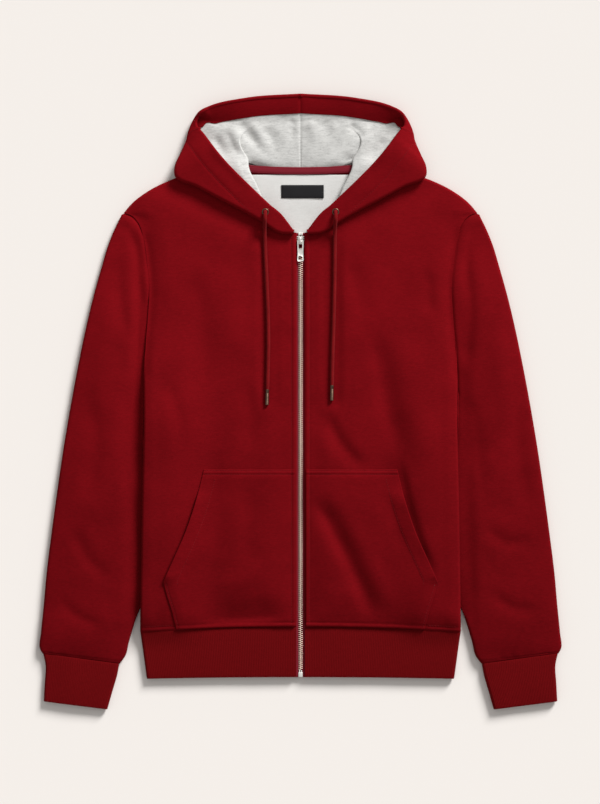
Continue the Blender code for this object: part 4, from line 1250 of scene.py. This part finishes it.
def hoodRows():
    # the hood's table between its rows: the first seven values on a smooth curve
    rows = np.array(hood["table"])
    steps = (np.hypot(np.diff(rows[:, 3]), np.diff(rows[:, 4]))
             + 0.35 * np.hypot(np.diff(rows[:, 5]), np.diff(rows[:, 6])))
    places = np.concatenate([[0.0], np.cumsum(steps)])
    at = spreadOut(0.0, places[-1], hood["rows"], [(places[-1], 8.0, 1.0), (0.0, 10.0, 0.8)])
    smooth = tableCurve(at, places, rows[:, :7], np.gradient(rows[:, :7], places, axis=0))
    extra = np.array([hood["facingWidths"], hood["liningLift"]]).T
    steady = steadyTable(at, places, np.concatenate([rows[:, 7:10], hood["pleat"], extra], axis=1))
    roll = hood["shell"] / 2 + hood["rollAllowance"]
    worked = np.hypot(*(smooth[:, 3:5] - smooth[:, 5:7]).T) - steady[:, 1] - roll
    last = int(np.argmax(rows[:, 10] > 0.0)) - 1
    known = rows[:, 10].copy()
    known[:last + 1] = np.hypot(*(rows[last, 3:5] - rows[last, 5:7])) - rows[last, 8] - roll
    over = np.where(at <= places[last], worked, steadyTable(at, places, known[:, None])[:, 0])
    return smooth, steady[:, :3], np.maximum(over, 0.4), steady[:, 3:]


def hoodGrid():
    # middle of the hood's shell from the neck seam to the rim, and its columns' distances along
    # each row. The last columns are the facing's
    half = hood["shell"] / 2
    smooth, steady, overs, linings = hoodRows()
    grid = []
    along = []
    for row, (base, radius, turn), over, width in zip(smooth, steady, overs, linings[:, 2]):
        neck = row[0:3]
        fold = row[3:5]
        outward = unit(fold - row[5:7])
        angle = math.radians(turn)
        bent = min(angle, math.pi / 2)
        centre = fold - outward * ((radius + half) * math.sin(bent) + over * math.cos(bent))
        level = base + half
        start = np.array([*centre, level])
        underLength = np.linalg.norm(start - neck)
        arcLength = radius * angle
        total = underLength + arcLength + over
        facing = min(width, hood["facingShare"] * total)
        middle = underLength + arcLength / 2
        main = spreadOut(0.0, total - facing, hood["mainColumns"],
                         [(middle, arcLength * 0.45, 3.0), (total - hood["tunnel"], 3.0, 1.0)])
        last = spreadOut(total - facing, total, hood["facingColumns"],
                         [(total, 3.0, 1.2), (middle, arcLength * 0.45, 1.0)])[1:]
        distance = np.concatenate([main, last])
        under = np.clip(distance / underLength, 0.0, 1.0)[:, None]
        part = np.clip((distance - underLength) / radius, 0.0, angle)
        past = np.maximum(distance - underLength - arcLength, 0.0)[:, None]
        points = neck + (start - neck) * under
        points[:, :2] += outward * (radius * np.sin(part))[:, None]
        points[:, 2] += radius * (1.0 - np.cos(part))
        points += np.array([*(outward * math.cos(angle)), math.sin(angle)]) * past
        grid.append(points)
        along.append(distance)
    return np.array(grid), np.array(along), linings


def liningPath(seam, pleat):
    # distances along a row and heights over the shell, with a pleat that turns back on itself
    place, full = pleat[:2]
    top = place + 1.6
    rest = seam - top
    stops = [0.0, max(place + 8.0 * full - 3.0, 0.3 + 1.7 * full), place - 1.5 + 2.7 * full, place,
             top, top + 0.2 * rest, top + 0.55 * rest, seam]
    heights = np.array([0.0, 0.0, 0.9, 2.1, 3.3, 2.4, 0.6, 0.0]) * full
    counts = [8, 8, 5, 5, 10, 12, 28]
    path = []
    for k, count in enumerate(counts):
        share = np.linspace(0.0, 1.0, count, endpoint=k == len(counts) - 1)[:, None]
        first = np.array([stops[k], heights[k]])
        path.append(first + (np.array([stops[k + 1], heights[k + 1]]) - first) * share)
    path = np.concatenate(path)
    for _ in range(3):
        path[1:-1] = (path[:-2] + 2.0 * path[1:-1] + path[2:]) / 4.0
    return path


hoodFolds = [  # on the outside of the lapels
    (-1, 9, 7, 0.25, [(112, 392), (128, 350), (100, 318), (70, 286)]),
]
liningFolds = {  # height is towards the eye
    "left": [
        (-3.2, 10, 8, 0.3, [(-91, 394), (-72, 374), (-54, 352)]),
        (-2.2, 8, 8, 0.3, [(-50, 386), (-42, 372), (-35, 361)]),
        (1.8, 9, 9, 0.3, [(-74, 394), (-58, 374), (-44, 352)]),
        (-2.4, 9, 7, 0.3, [(-122, 376), (-110, 354), (-98, 336)]),
        (-2, 6, 8, 0.3, [(-106, 384), (-97, 364), (-86, 340)]),
        (-1.6, 5, 7, 0.3, [(-8, 398), (-12, 384), (-10, 366)]),
    ],
    "right": [
        (-2.2, 5, 5, 0.25, [(50, 342), (62, 341), (78, 338)]),
        (-2.4, 6, 7, 0.25, [(66, 388), (80, 380), (88, 368)]),
        (-1.6, 8, 8, 0.25, [(28, 394), (38, 380), (40, 366)]),
        (1.5, 8, 8, 0.25, [(12, 396), (18, 380), (16, 362)]),
        (-1.8, 8, 8, 0.25, [(118, 372), (106, 352), (94, 334)]),
    ],
}


def makeHood():
    made = {"shell": {}, "lining": {}, "facing": {}}
    base, along, pleats = hoodGrid()
    split = hood["mainColumns"] - 1
    inward = gridNormals(base)
    if inward[60, 4, 2] < 0:
        inward = -inward
    inward[-1, :, 0] = 0.0
    inward = unit(inward)
    base[-1, :, 0] = hood["seamHalf"]
    count = len(base)
    down = np.linspace(0.0, 1.0, count)[:, None]
    fromSeam = (1.0 - down) * hood["reach"]
    crownFrom, crownOver = hood["crown"]
    crown = ease((down - crownFrom) / crownOver)
    toRim = along[:, -1:] - along
    liningMiddle = hood["shell"] / 2 + hood["gap"] / 2 + hood["jersey"] / 2
    rimStart, rimEnd = np.array(hood["lapelRim"])
    rimX, rimY = rimEnd - rimStart
    rimNormal = unit(np.array([rimY, -rimX]))
    for side, sign in sides.items():
        turned = np.array([sign, 1.0, 1.0])
        x, y = base[..., 0] * sign, base[..., 1]
        lapel = ease((toRim[:, :1] - toRim - 30.0) / 20.0) * (1.0 - crown)
        outside = -0.55 * bell(toRim - hood["tunnel"], 1.4) * lapel
        outside += (0.45 * np.sin(math.pi * np.clip(toRim / hood["tunnel"], 0.0, 1.0))
                    + 0.35 * softNoise(x, y, 30.0, 41) + foldHeights(np.abs(x), y, hoodFolds)) * lapel
        outside -= 1.0 * bell(fromSeam, 2.2)
        shell = base * turned - inward * turned * outside[..., None]
        shell[..., 2] = np.maximum(shell[..., 2], hood["shell"] / 2)
        forward = unit(shell[:, -1] - shell[:, -2])
        radius = hood["rimRadius"]
        rolled = [shell[:, -1] + forward * radius * math.sin(turn)
                  + inward[:, -1] * turned * radius * (1.0 - math.cos(turn))
                  for turn in np.radians(np.linspace(0.0, 180.0, 9)[1:])]
        rolled.append(rolled[-1] - forward * 1.5)
        shell = np.concatenate([shell, np.stack(rolled, axis=1)], axis=1)
        piece = clothPiece("hoodShell" + side.title(), shell, "fleece", hood["shell"] - 0.3)
        made["shell"][side] = settle(piece, ["hood_" + side])
        rows = []
        laid = []
        for k in range(2, count):
            place, rise = liningPath(along[k, split] + 2.0 * min(1.0, k / 20.0), pleats[k]).T
            tucked = hood["underTape"] * ease((k / count - 0.5) / 0.12)
            place = np.where(place < 8.0, place - tucked * (1.0 - place / 8.0), place)
            distance, inboard = np.maximum(place, 0.0), np.minimum(place, 0.0)
            flat = unit((base[k, 6] - base[k, 0]) * (1.0, 1.0, 0.0))
            points = pointsAt(base[k], along[k], distance) + flat * inboard[:, None]
            points[:, 2] += hood["pleatDroop"] * inboard
            points = points * turned
            toSeam = along[k, split] - place
            fromRim = (points[:, :2] * (sign, 1.0) - rimStart) @ rimNormal
            stand = (pleats[k, 3] * np.maximum(ease(place / 14.0), ease(rise / 1.6))
                     * np.clip(fromRim / hood["liningRise"], 0.0, 1.0) * ease(toSeam / 22.0))
            lifted = liningMiddle + rise + stand + 0.4
            rows.append(points + pointsAt(inward[k], along[k], distance) * turned * lifted[:, None])
            laid.append(ease(place / 10.0) * ease(toSeam / 12.0))
        lining = np.array(rows)
        inner = np.linspace(0.0, 1.0, lining.shape[1])[None, :, None]
        upward = np.linspace(0.0, 1.0, len(rows))[1:-1, None, None]
        soft = (1.0 - ease((inner - 0.55) / 0.35)) * ease(upward / 0.3)
        for _ in range(hood["liningPasses"]):   # evens the rows out near the pleat
            lining[1:-1] += soft * (lining[:-2] - 2.0 * lining[1:-1] + lining[2:]) / 4.0
        innerX, innerY = lining[..., 0], lining[..., 1]
        height = foldHeights(innerX, innerY, liningFolds[side]) * np.array(laid)
        height += 0.4 * softNoise(innerX, innerY, 24.0, 43) + 0.3 * softNoise(innerX, innerY, 10.0, 44)
        lining[..., 2] += height - 0.8 * bell(fromSeam[2:], 1.8)
        lining[..., 2] = np.maximum(lining[..., 2], hood["lowestLining"])
        lining[-1, :, 0] = hood["seamHalf"] * sign
        piece = clothPiece("hoodLining" + side.title(), lining, "lining", hood["jersey"], 0.3)
        made["lining"][side] = settle(piece, ["hood_lining_" + side])
        soft = 0.5 * np.sin(math.pi * np.clip(toRim / hood["facingWidth"], 0.0, 1.0))
        soft += 0.25 * softNoise(x, y, 18.0, 46) - 0.7 * bell(fromSeam, 2.2)
        facing = base * turned + inward * turned * (liningMiddle + 0.7 + soft)[..., None]
        facing = facing[2:, split:]
        piece = clothPiece("hoodFacing" + side.title(), facing, "fleece", hood["facing"], 0.5)
        made["facing"][side] = settle(piece, ["hood_facing_" + side])
    print("hood")
    return made


# inside of the neck

neck = {
    "facingHalf": 80.0,
    "facingTop": 318.5,
    "facingDepth": 85.5,
    "jersey": 1.1,
    "tapeWidth": 10.0,
    "tapeHalf": 83.0,
    "tapeMiddle": 324.0,
    "tapeRise": 3.8,
    "tape": 0.9,
    "label": (59.5, 18.4),
    "labelAt": (2.8, 294.9),
    "labelThickness": 0.8,
}


def makeNeck():
    level = body["fleece"] + 0.3 + neck["jersey"] / 2
    share = np.sin(np.linspace(0.0, 1.0, 44) * math.radians(84.0))[:, None]
    x = neck["facingHalf"] * np.sqrt(1.0 - share * share) * np.linspace(-1.0, 1.0, 60)
    y = neck["facingTop"] - neck["facingDepth"] * share
    grid = gridOf(x, y, level + 0.35 * softNoise(x, y, 30.0, 51) + 0.35)
    facing = clothPiece("backFacing", grid, "innerBack", neck["jersey"], 0.3)
    settle(facing, ["back_facing"])
    level = body["fleece"] + neck["jersey"] + 0.9 + neck["tape"] / 2
    place = np.linspace(-1.0, 1.0, 110)[:, None]
    across = np.linspace(-0.5, 0.5, 15)
    x = neck["tapeHalf"] * place
    y = neck["tapeMiddle"] + neck["tapeRise"] * place * place + across * neck["tapeWidth"]
    z = level + 0.55 * np.sqrt(np.clip(1.0 - (2 * across) ** 4, 0.0, 1.0)) - 0.4
    z = z - 0.3 * bell(np.abs(across) - 0.33, 0.06) + 0.15 * softNoise(x, across * 10.0, 14.0, 53)
    tape = clothPiece("neckTape", gridOf(x, y, z), "tape", neck["tape"], 0.3)
    settle(tape, ["neck_tape"])
    width, height = neck["label"]
    centreX, centreY = neck["labelAt"]
    x = np.linspace(-0.5, 0.5, 60)
    y = np.linspace(-0.5, 0.5, 22)[:, None]
    edge = np.minimum(0.5 - np.abs(x), (0.5 - np.abs(y)) * height / width) * width
    z = level - 0.1 + 0.5 * (1.0 - np.exp(-edge / 1.4)) + 0.25 * softNoise(x * 60, y * 20, 17.0, 57)
    grid = gridOf(centreX + x * width, centreY + y * height, z)
    label = clothPiece("neckLabel", grid, "label", neck["labelThickness"], 0.3)
    print("neck")
    return facing, tape, settle(label, ["neck_label"])


# zip

zipper = {
    "level": 5.35,
    "tooth": (3.7, 1.25, 2.6),
    "toothAt": 1.4,      # its middle, from the middle of the zip
    "toothHead": (1, 0.72, 0.75),   # factors of its outer end
    "bottom": -383.6,
    "boxLength": 9.6,
    "pitch": 2.85,       # between teeth of one side
    "openTeeth": [(2.6, 227.4), (2.9, 229.7), (3.2, 232)],
    "openTurn": 14.0,    # degrees
    "tapeInner": 1.2,
    "tapeOuter": 16.0,
    "tapeTop": 237.0,
    "tape": 0.8,
    "tapeDip": 0.8,      # under the teeth
    "stop": (2.5, 3.4, 2.6),
    "sliderLow": 220.0,
    "sliderLength": 13.0,
    "plate": 1.0,
    "space": 2.5,
    "flange": (0.8, 6.6, 0.9),
    "axisY": 226.5,
    "axisUp": 1.05,
}
pull = {
    "thick": 1.2,
    "end": 197.4,
    "slot": (5.2, 11.0),     # width and length
    "window": (5.4, 5.0),
    "windowY": 202.2,
    "foot": 3.2,             # half width at the lower end
    "rim": 0.35,             # height of the raised edge
    # half widths from the top to the bottom, at shares of the length
    "outline": [(0, 4.1), (0.06, 4.45), (0.3, 4.2), (0.6, 3.95), (0.8, 4.3), (0.93, 4.55),
                (0.985, 3.9)],
}


def toothTemplate():
    # one cast tooth that clamps the tape: a bar with rounded edges and a narrower outer end
    bm = bmesh.new()
    addBox(bm, zipper["tooth"], (zipper["toothAt"], 0.0, 0.0))
    bmesh.ops.scale(bm, vec=zipper["toothHead"], verts=[vert for vert in bm.verts if vert.co.x > 0.0])
    roundEdges(bm, bm.edges[:], 0.28, 1)
    return bm


def makeZip():
    made = []
    level = zipper["level"]
    template = toothTemplate()
    closed = []
    low = zipper["bottom"] + zipper["boxLength"] + 1.0
    count = int((zipper["sliderLow"] - 0.8 - low) / zipper["pitch"])
    for sign, shift in ((1.0, 0.5), (-1.0, 0.0)):
        for k in range(count):
            matrix = np.diag([sign, sign, 1.0, 1.0])
            matrix[:3, 3] = (0.0, low + zipper["pitch"] * (k + shift), level)
            closed.append(matrix)
    settle(scatterCopies("zipTeeth", template, closed, "brass"), ["zip_chain"])
    spread = []
    for sign in (1.0, -1.0):
        turn = np.array(Matrix.Rotation(-sign * math.radians(zipper["openTurn"]), 4, "Z"))
        for x, y in zipper["openTeeth"]:
            matrix = turn @ np.diag([sign, sign, 1.0, 1.0])
            matrix[:3, 3] = (sign * x, y, level + 0.4)
            spread.append(matrix)
    settle(scatterCopies("zipTeethOpen", template, spread, "nickel"), [])
    template.free()
    y = spreadOut(zipper["bottom"] - 0.4, zipper["tapeTop"], 150)[:, None]
    across = np.linspace(zipper["tapeInner"], zipper["tapeOuter"], 14)
    z = level - zipper["tapeDip"] * np.exp(-(across / 3.6) ** 4)
    stopY = zipper["sliderLow"] + zipper["sliderLength"] + 2.3
    for side, sign in sides.items():
        grid = gridOf(sign * across, y, z)
        tape = clothPiece("zipTape" + side.title(), grid, "tape", zipper["tape"], 0.25)
        made.append(settle(tape, ["zip_tape_" + side]))
        bm = bmesh.new()
        addBox(bm, zipper["stop"], (sign * 1.85, stopY, level))
        roundEdges(bm, bm.edges[:], 0.5, 3)
        stop = bmeshObject("zipStop" + side.title(), bm, "nickel", 40.0)
        settle(stop, ["zip_stop_" + side])
    makeZipBox()
    makeSlider()
    makePull()
    print("zip", len(closed), "teeth")
    return made


def makeZipBox():
    # the box, the pin that goes into it and the guide beside the pin
    level = zipper["level"]
    bottom = zipper["bottom"]
    bm = bmesh.new()
    addBox(bm, (6.0, 6.4, 3.0), (0.0, bottom + 3.2, level))
    addBox(bm, (1.7, 8.6, 2.2), (-1.3, bottom + 5.2, level + 0.1))
    addBox(bm, (1.7, 6.4, 2.4), (1.4, bottom + 6.3, level))
    roundEdges(bm, bm.edges[:], 0.42, 3)
    settle(bmeshObject("zipBox", bm, "nickel", 40.0), ["zip_box"])


def plateOutline(shoulder, foot, low, top):
    # half outline of the slider's plate, narrower at its foot, mirrored
    right = [(0.0, low), (foot * 0.7, low), (foot, low + 1.2), (shoulder * 0.97, top - 5.6),
             (shoulder, top - 3.6), (shoulder * 0.94, top - 1.2), (shoulder * 0.62, top),
             (0.0, top - 1.5)]
    return right + [(-x, y) for x, y in right[-2:0:-1]]


def makeSlider():
    level = zipper["level"]
    low = zipper["sliderLow"]
    top = low + zipper["sliderLength"]
    inner = zipper["space"] / 2
    plate = zipper["plate"]
    bm = bmesh.new()
    for z in (level + inner, level - inner - plate):
        outline = plateOutline(3.7, 3.2, low + 1.2, top)
        extrudeUp(bm, [bm.faces.new([bm.verts.new((x, y, z)) for x, y in outline])], plate)
    wedge = bmesh.ops.create_cone(bm, cap_ends=True, segments=12, radius1=1.3, radius2=1.3,
                                  depth=2 * inner + 0.4)["verts"]
    bmesh.ops.translate(bm, vec=(0.0, top - 3.0, level), verts=wedge)
    for x in (3.6, -3.6):
        for rise in (inner - 0.3, 0.3 - inner):
            addBox(bm, zipper["flange"], (x, low + 4.0, level + rise))
    arch = smoothRoute([(-4.7, -0.3), (-4.6, 1.2), (-3.2, 2.5), (0, 2.75), (3.2, 2.5), (4.6, 1.2),
                        (4.7, -0.3)], 5)[0]
    arch += (zipper["axisY"], level + inner + plate)
    ring = []
    for k, (y, z) in enumerate(arch):
        ahead = arch[min(k + 1, len(arch) - 1)] - arch[max(k - 1, 0)]
        normalY, normalZ = unit(np.array([-ahead[1], ahead[0]])) * 0.5
        ring.append([bm.verts.new((x, y + normalY * side, z + normalZ * side))
                     for x, side in ((-1.2, -1), (1.2, -1), (1.2, 1), (-1.2, 1))])
    for a, b in zip(ring, ring[1:]):
        for j in range(4):
            bm.faces.new([a[j], a[(j + 1) % 4], b[(j + 1) % 4], b[j]])
    bm.faces.new(ring[0])
    bm.faces.new(ring[-1])
    roundEdges(bm, sharpEdges(bm, 0.9), 0.26, 2)
    settle(bmeshObject("zipSlider", bm, "nickel", 40.0), ["zip_slider"])


def roundedLoop(bm, centreY, width, height, radius, z):
    # a closed loop of edges with rounded corners, centred across the pull
    points = []
    for cornerX, cornerY, start in ((1, 1, 0.0), (-1, 1, 90.0), (-1, -1, 180.0), (1, -1, 270.0)):
        for angle in np.radians(np.linspace(start, start + 90.0, 6)):
            points.append((cornerX * (width / 2 - radius) + radius * math.cos(angle),
                           centreY + cornerY * (height / 2 - radius) + radius * math.sin(angle), z))
    return addLoop(bm, points)


def makePull():
    axisZ = zipper["level"] + zipper["space"] / 2 + zipper["plate"] + zipper["axisUp"]
    thick = pull["thick"]
    top = zipper["axisY"] + thick / 2
    length = top - pull["end"]
    bottomZ = axisZ - thick / 2
    bm = bmesh.new()
    right = [(half, top - share * length) for share, half in pull["outline"]]
    right.append((pull["foot"], pull["end"]))
    edges = addLoop(bm, [(x, y, bottomZ) for x, y in right + [(-x, y) for x, y in right[::-1]]])
    slotY = zipper["axisY"] - thick / 2 - pull["slot"][1] / 2
    edges += roundedLoop(bm, slotY, *pull["slot"], 2.0, bottomZ)
    edges += roundedLoop(bm, pull["windowY"], *pull["window"], 1.6, bottomZ)
    bmesh.ops.triangle_fill(bm, use_beauty=True, use_dissolve=False, edges=edges)
    extrudeUp(bm, bm.faces[:], thick)
    bmesh.ops.recalc_face_normals(bm, faces=bm.faces)
    upper = [face for face in bm.faces if face.normal.z > 0.9]
    bmesh.ops.inset_region(bm, faces=upper, thickness=0.45, depth=-pull["rim"], use_even_offset=True)
    roundEdges(bm, sharpEdges(bm, 1.2), 0.16, 2)
    settle(bmeshObject("zipPull", bm, "nickel", 40.0), ["zip_pull"], "pull_tab")


# eyelets

eyelet = {"at": (49.0, 265.7), "outer": 5.0, "hole": 3.2, "height": 0.8, "seat": 4.0}


def makeEyelets(shells):
    hole, outer, height = eyelet["hole"], eyelet["outer"], eyelet["height"]
    profile = [(hole - 0.2, -2.6), (hole, -0.4), (hole + 0.2, 0.45), (hole + 0.6, height),
               (hole + 1.1, height * 0.9), (outer - 0.3, 0.4), (outer, -0.05), (outer - 0.1, -0.35),
               (hole + 0.8, -0.3), (hole + 0.4, -2.6)]
    seat = eyelet["seat"]
    for side, sign in sides.items():
        read = surfaceReader([shells[side]])
        x, y = sign * eyelet["at"][0], eyelet["at"][1]
        around = np.array([read(x + seat * math.cos(angle), y + seat * math.sin(angle))[0]
                           for angle in np.linspace(0, math.tau, 12, endpoint=False)])
        centre = around.mean(axis=0)
        normal = Vector(np.linalg.svd(around - centre)[2][2])
        if normal.z < 0:
            normal = -normal
        bm = turnedPart(profile, 36, True, Vector(centre), normal)
        piece = bmeshObject("eyelet" + side.title(), bm, "antique", 50.0)
        settle(piece, ["eyelet_" + side])
        print("eyelet", side, "height", round(float(centre[2]), 2))


# stitches

def makeStitches(fronts, pockets, hoodPieces, tape, label):
    made = {}

    def sew(name, rows, pieces):
        read = surfaceReader(pieces)
        made[name] = [matrix for row in rows for matrix in stitchMatrices(row, read)]

    base, along, _ = hoodGrid()
    for side, sign in sides.items():
        bodyPieces = [fronts[side], pockets[side]]
        zipLine = [(sign * body["zipStitch"], y) for y in np.linspace(*stitch["zipSpan"], 30)]
        sew("Zip" + side.title(), [zipLine], bodyPieces)
        rows = []
        for down in pocket["stitchRows"]:
            y = pocket["top"] - down
            inner, inset = stitch["pocketTop"]
            outer = float(pocketOuterX(np.array([y]))[0]) - inset
            rows.append([(sign * x, y) for x in np.linspace(inner, outer, 12)])
        for inset, span, count in ((pocket["band"], stitch["openingSpan"], 24),
                                   (pocket["sideStitch"], stitch["sideSpan"], 10)):
            y = np.linspace(*span, count)
            rows.append(gridOf(sign * (pocketOuterX(y) - inset), y))
        sew("Pocket" + side.title(), rows, [pockets[side]])
        hem = [(sign * x, hemSeamY(x) + stitch["overHem"]) for x in np.linspace(*stitch["hemSpan"], 8)]
        sew("Hem" + side.title(), [hem], bodyPieces)
        route = []
        for k in range(*stitch["tunnelRows"]):
            if along[k, -1] >= hood["facingWidth"] + stitch["tunnelRoom"]:
                x, y, _ = pointsAt(base[k], along[k], along[k, -1] - hood["tunnel"])
                route.append((sign * x, y))
        sew("HoodTunnel" + side.title(), [route], [hoodPieces["shell"][side]])
    x = np.linspace(-stitch["tapeHalf"], stitch["tapeHalf"], 20)
    middle = neck["tapeMiddle"] + neck["tapeRise"] * (x / neck["tapeHalf"]) ** 2
    sew("NeckTape", [gridOf(x, middle + offset) for offset in stitch["tapeRows"]], [tape])
    total = sum(len(matrices) for matrices in made.values())
    halfWidth, halfHeight = (size / 2 - edge for size, edge in zip(neck["label"], stitch["labelEdge"]))
    centreX, centreY = neck["labelAt"]
    y = np.linspace(centreY - halfHeight, centreY + halfHeight, 6)
    sew("Label", [gridOf(centreX + sign * halfWidth, y) for sign in (-1.0, 1.0)], [label])
    template = bmesh.new()
    bmesh.ops.create_uvsphere(template, u_segments=6, v_segments=4, radius=0.5)
    for name, matrices in made.items():
        thread, slot = ("blackThread", "label") if name == "Label" else ("thread", "fleece")
        settle(scatterCopies("stitches" + name, template, matrices, thread), [])
    template.free()
    print("stitches", total)


# studio

studio = {
    "floor": (0.848, 0.802, 0.762),   # linear colour
    "floorHalf": 6.0,                 # metres
    "floorZ": -0.0003,                # metres
    "worldColour": (1, 0.997, 0.99),
    "worldStrength": 0.42,
    "keyFrom": (1283, 1976, 1099),
    "keyAngle": 20.0,
    "keyStrength": 4.9,
}


def makeStudio():
    bm = bmesh.new()
    bmesh.ops.create_grid(bm, x_segments=1, y_segments=1, size=studio["floorHalf"])
    bmesh.ops.translate(bm, vec=(0.0, 0.0, studio["floorZ"]), verts=bm.verts)
    mesh = bpy.data.meshes.new("floor")
    bm.to_mesh(mesh)
    bm.free()
    material, tree, shader = newMaterial("paleFloor", 0.9, specular=0.1)
    shader.inputs["Base Color"].default_value = (*studio["floor"], 1.0)
    mesh.materials.append(material)
    floor = bpy.data.objects.new("floor", mesh)
    scene.collection.objects.link(floor)
    world = bpy.data.worlds.new("studioLight")
    world.use_nodes = True
    background = world.node_tree.nodes["Background"]
    background.inputs["Color"].default_value = (*studio["worldColour"], 1.0)
    background.inputs["Strength"].default_value = studio["worldStrength"]
    scene.world = world
    data = bpy.data.lights.new("key", "SUN")
    data.energy = studio["keyStrength"]
    data.angle = math.radians(studio["keyAngle"])
    key = bpy.data.objects.new("key", data)
    key.location = Vector(studio["keyFrom"]) * mm
    key.rotation_euler = (-key.location).to_track_quat("-Z", "Y").to_euler()
    scene.collection.objects.link(key)
    scene.view_settings.view_transform = "Standard"
    scene.view_settings.look = "None"
    print("studio")


def main():
    makeCamera()
    makeMaterials()
    makeCords()
    back = makeBack()
    fronts = makeFronts()
    band = makeWaistband()
    sleeves = makeSleeves()
    cuffs = makeCuffs()
    pockets = makePockets()
    hoodPieces = makeHood()
    facing, tape, label = makeNeck()
    zipTapes = makeZip()
    makeEyelets(hoodPieces["shell"])
    makeStitches(fronts, pockets, hoodPieces, tape, label)
    makeStudio()
    declareSheet(back)
    for side in sides:
        declareSheet(fronts[side])
        declareSheet(pockets[side])
        declareSheet(sleeves[side])
        declareSheet(cuffs[side])
        declareSheet(hoodPieces["shell"][side])
        declareSheet(hoodPieces["lining"][side])
        declareSheet(hoodPieces["facing"][side])
    for piece, under in ((band, "backPanel"), (facing, "backPanel"), (tape, "backFacing"),
                         (label, "backFacing"), *((zipTape, "backPanel") for zipTape in zipTapes)):
        declareSheet(piece)
    for name, (width, length, area) in cuts.items():
        print("cut", name, round(width, 3), round(length, 3), round(area, 4))


main()
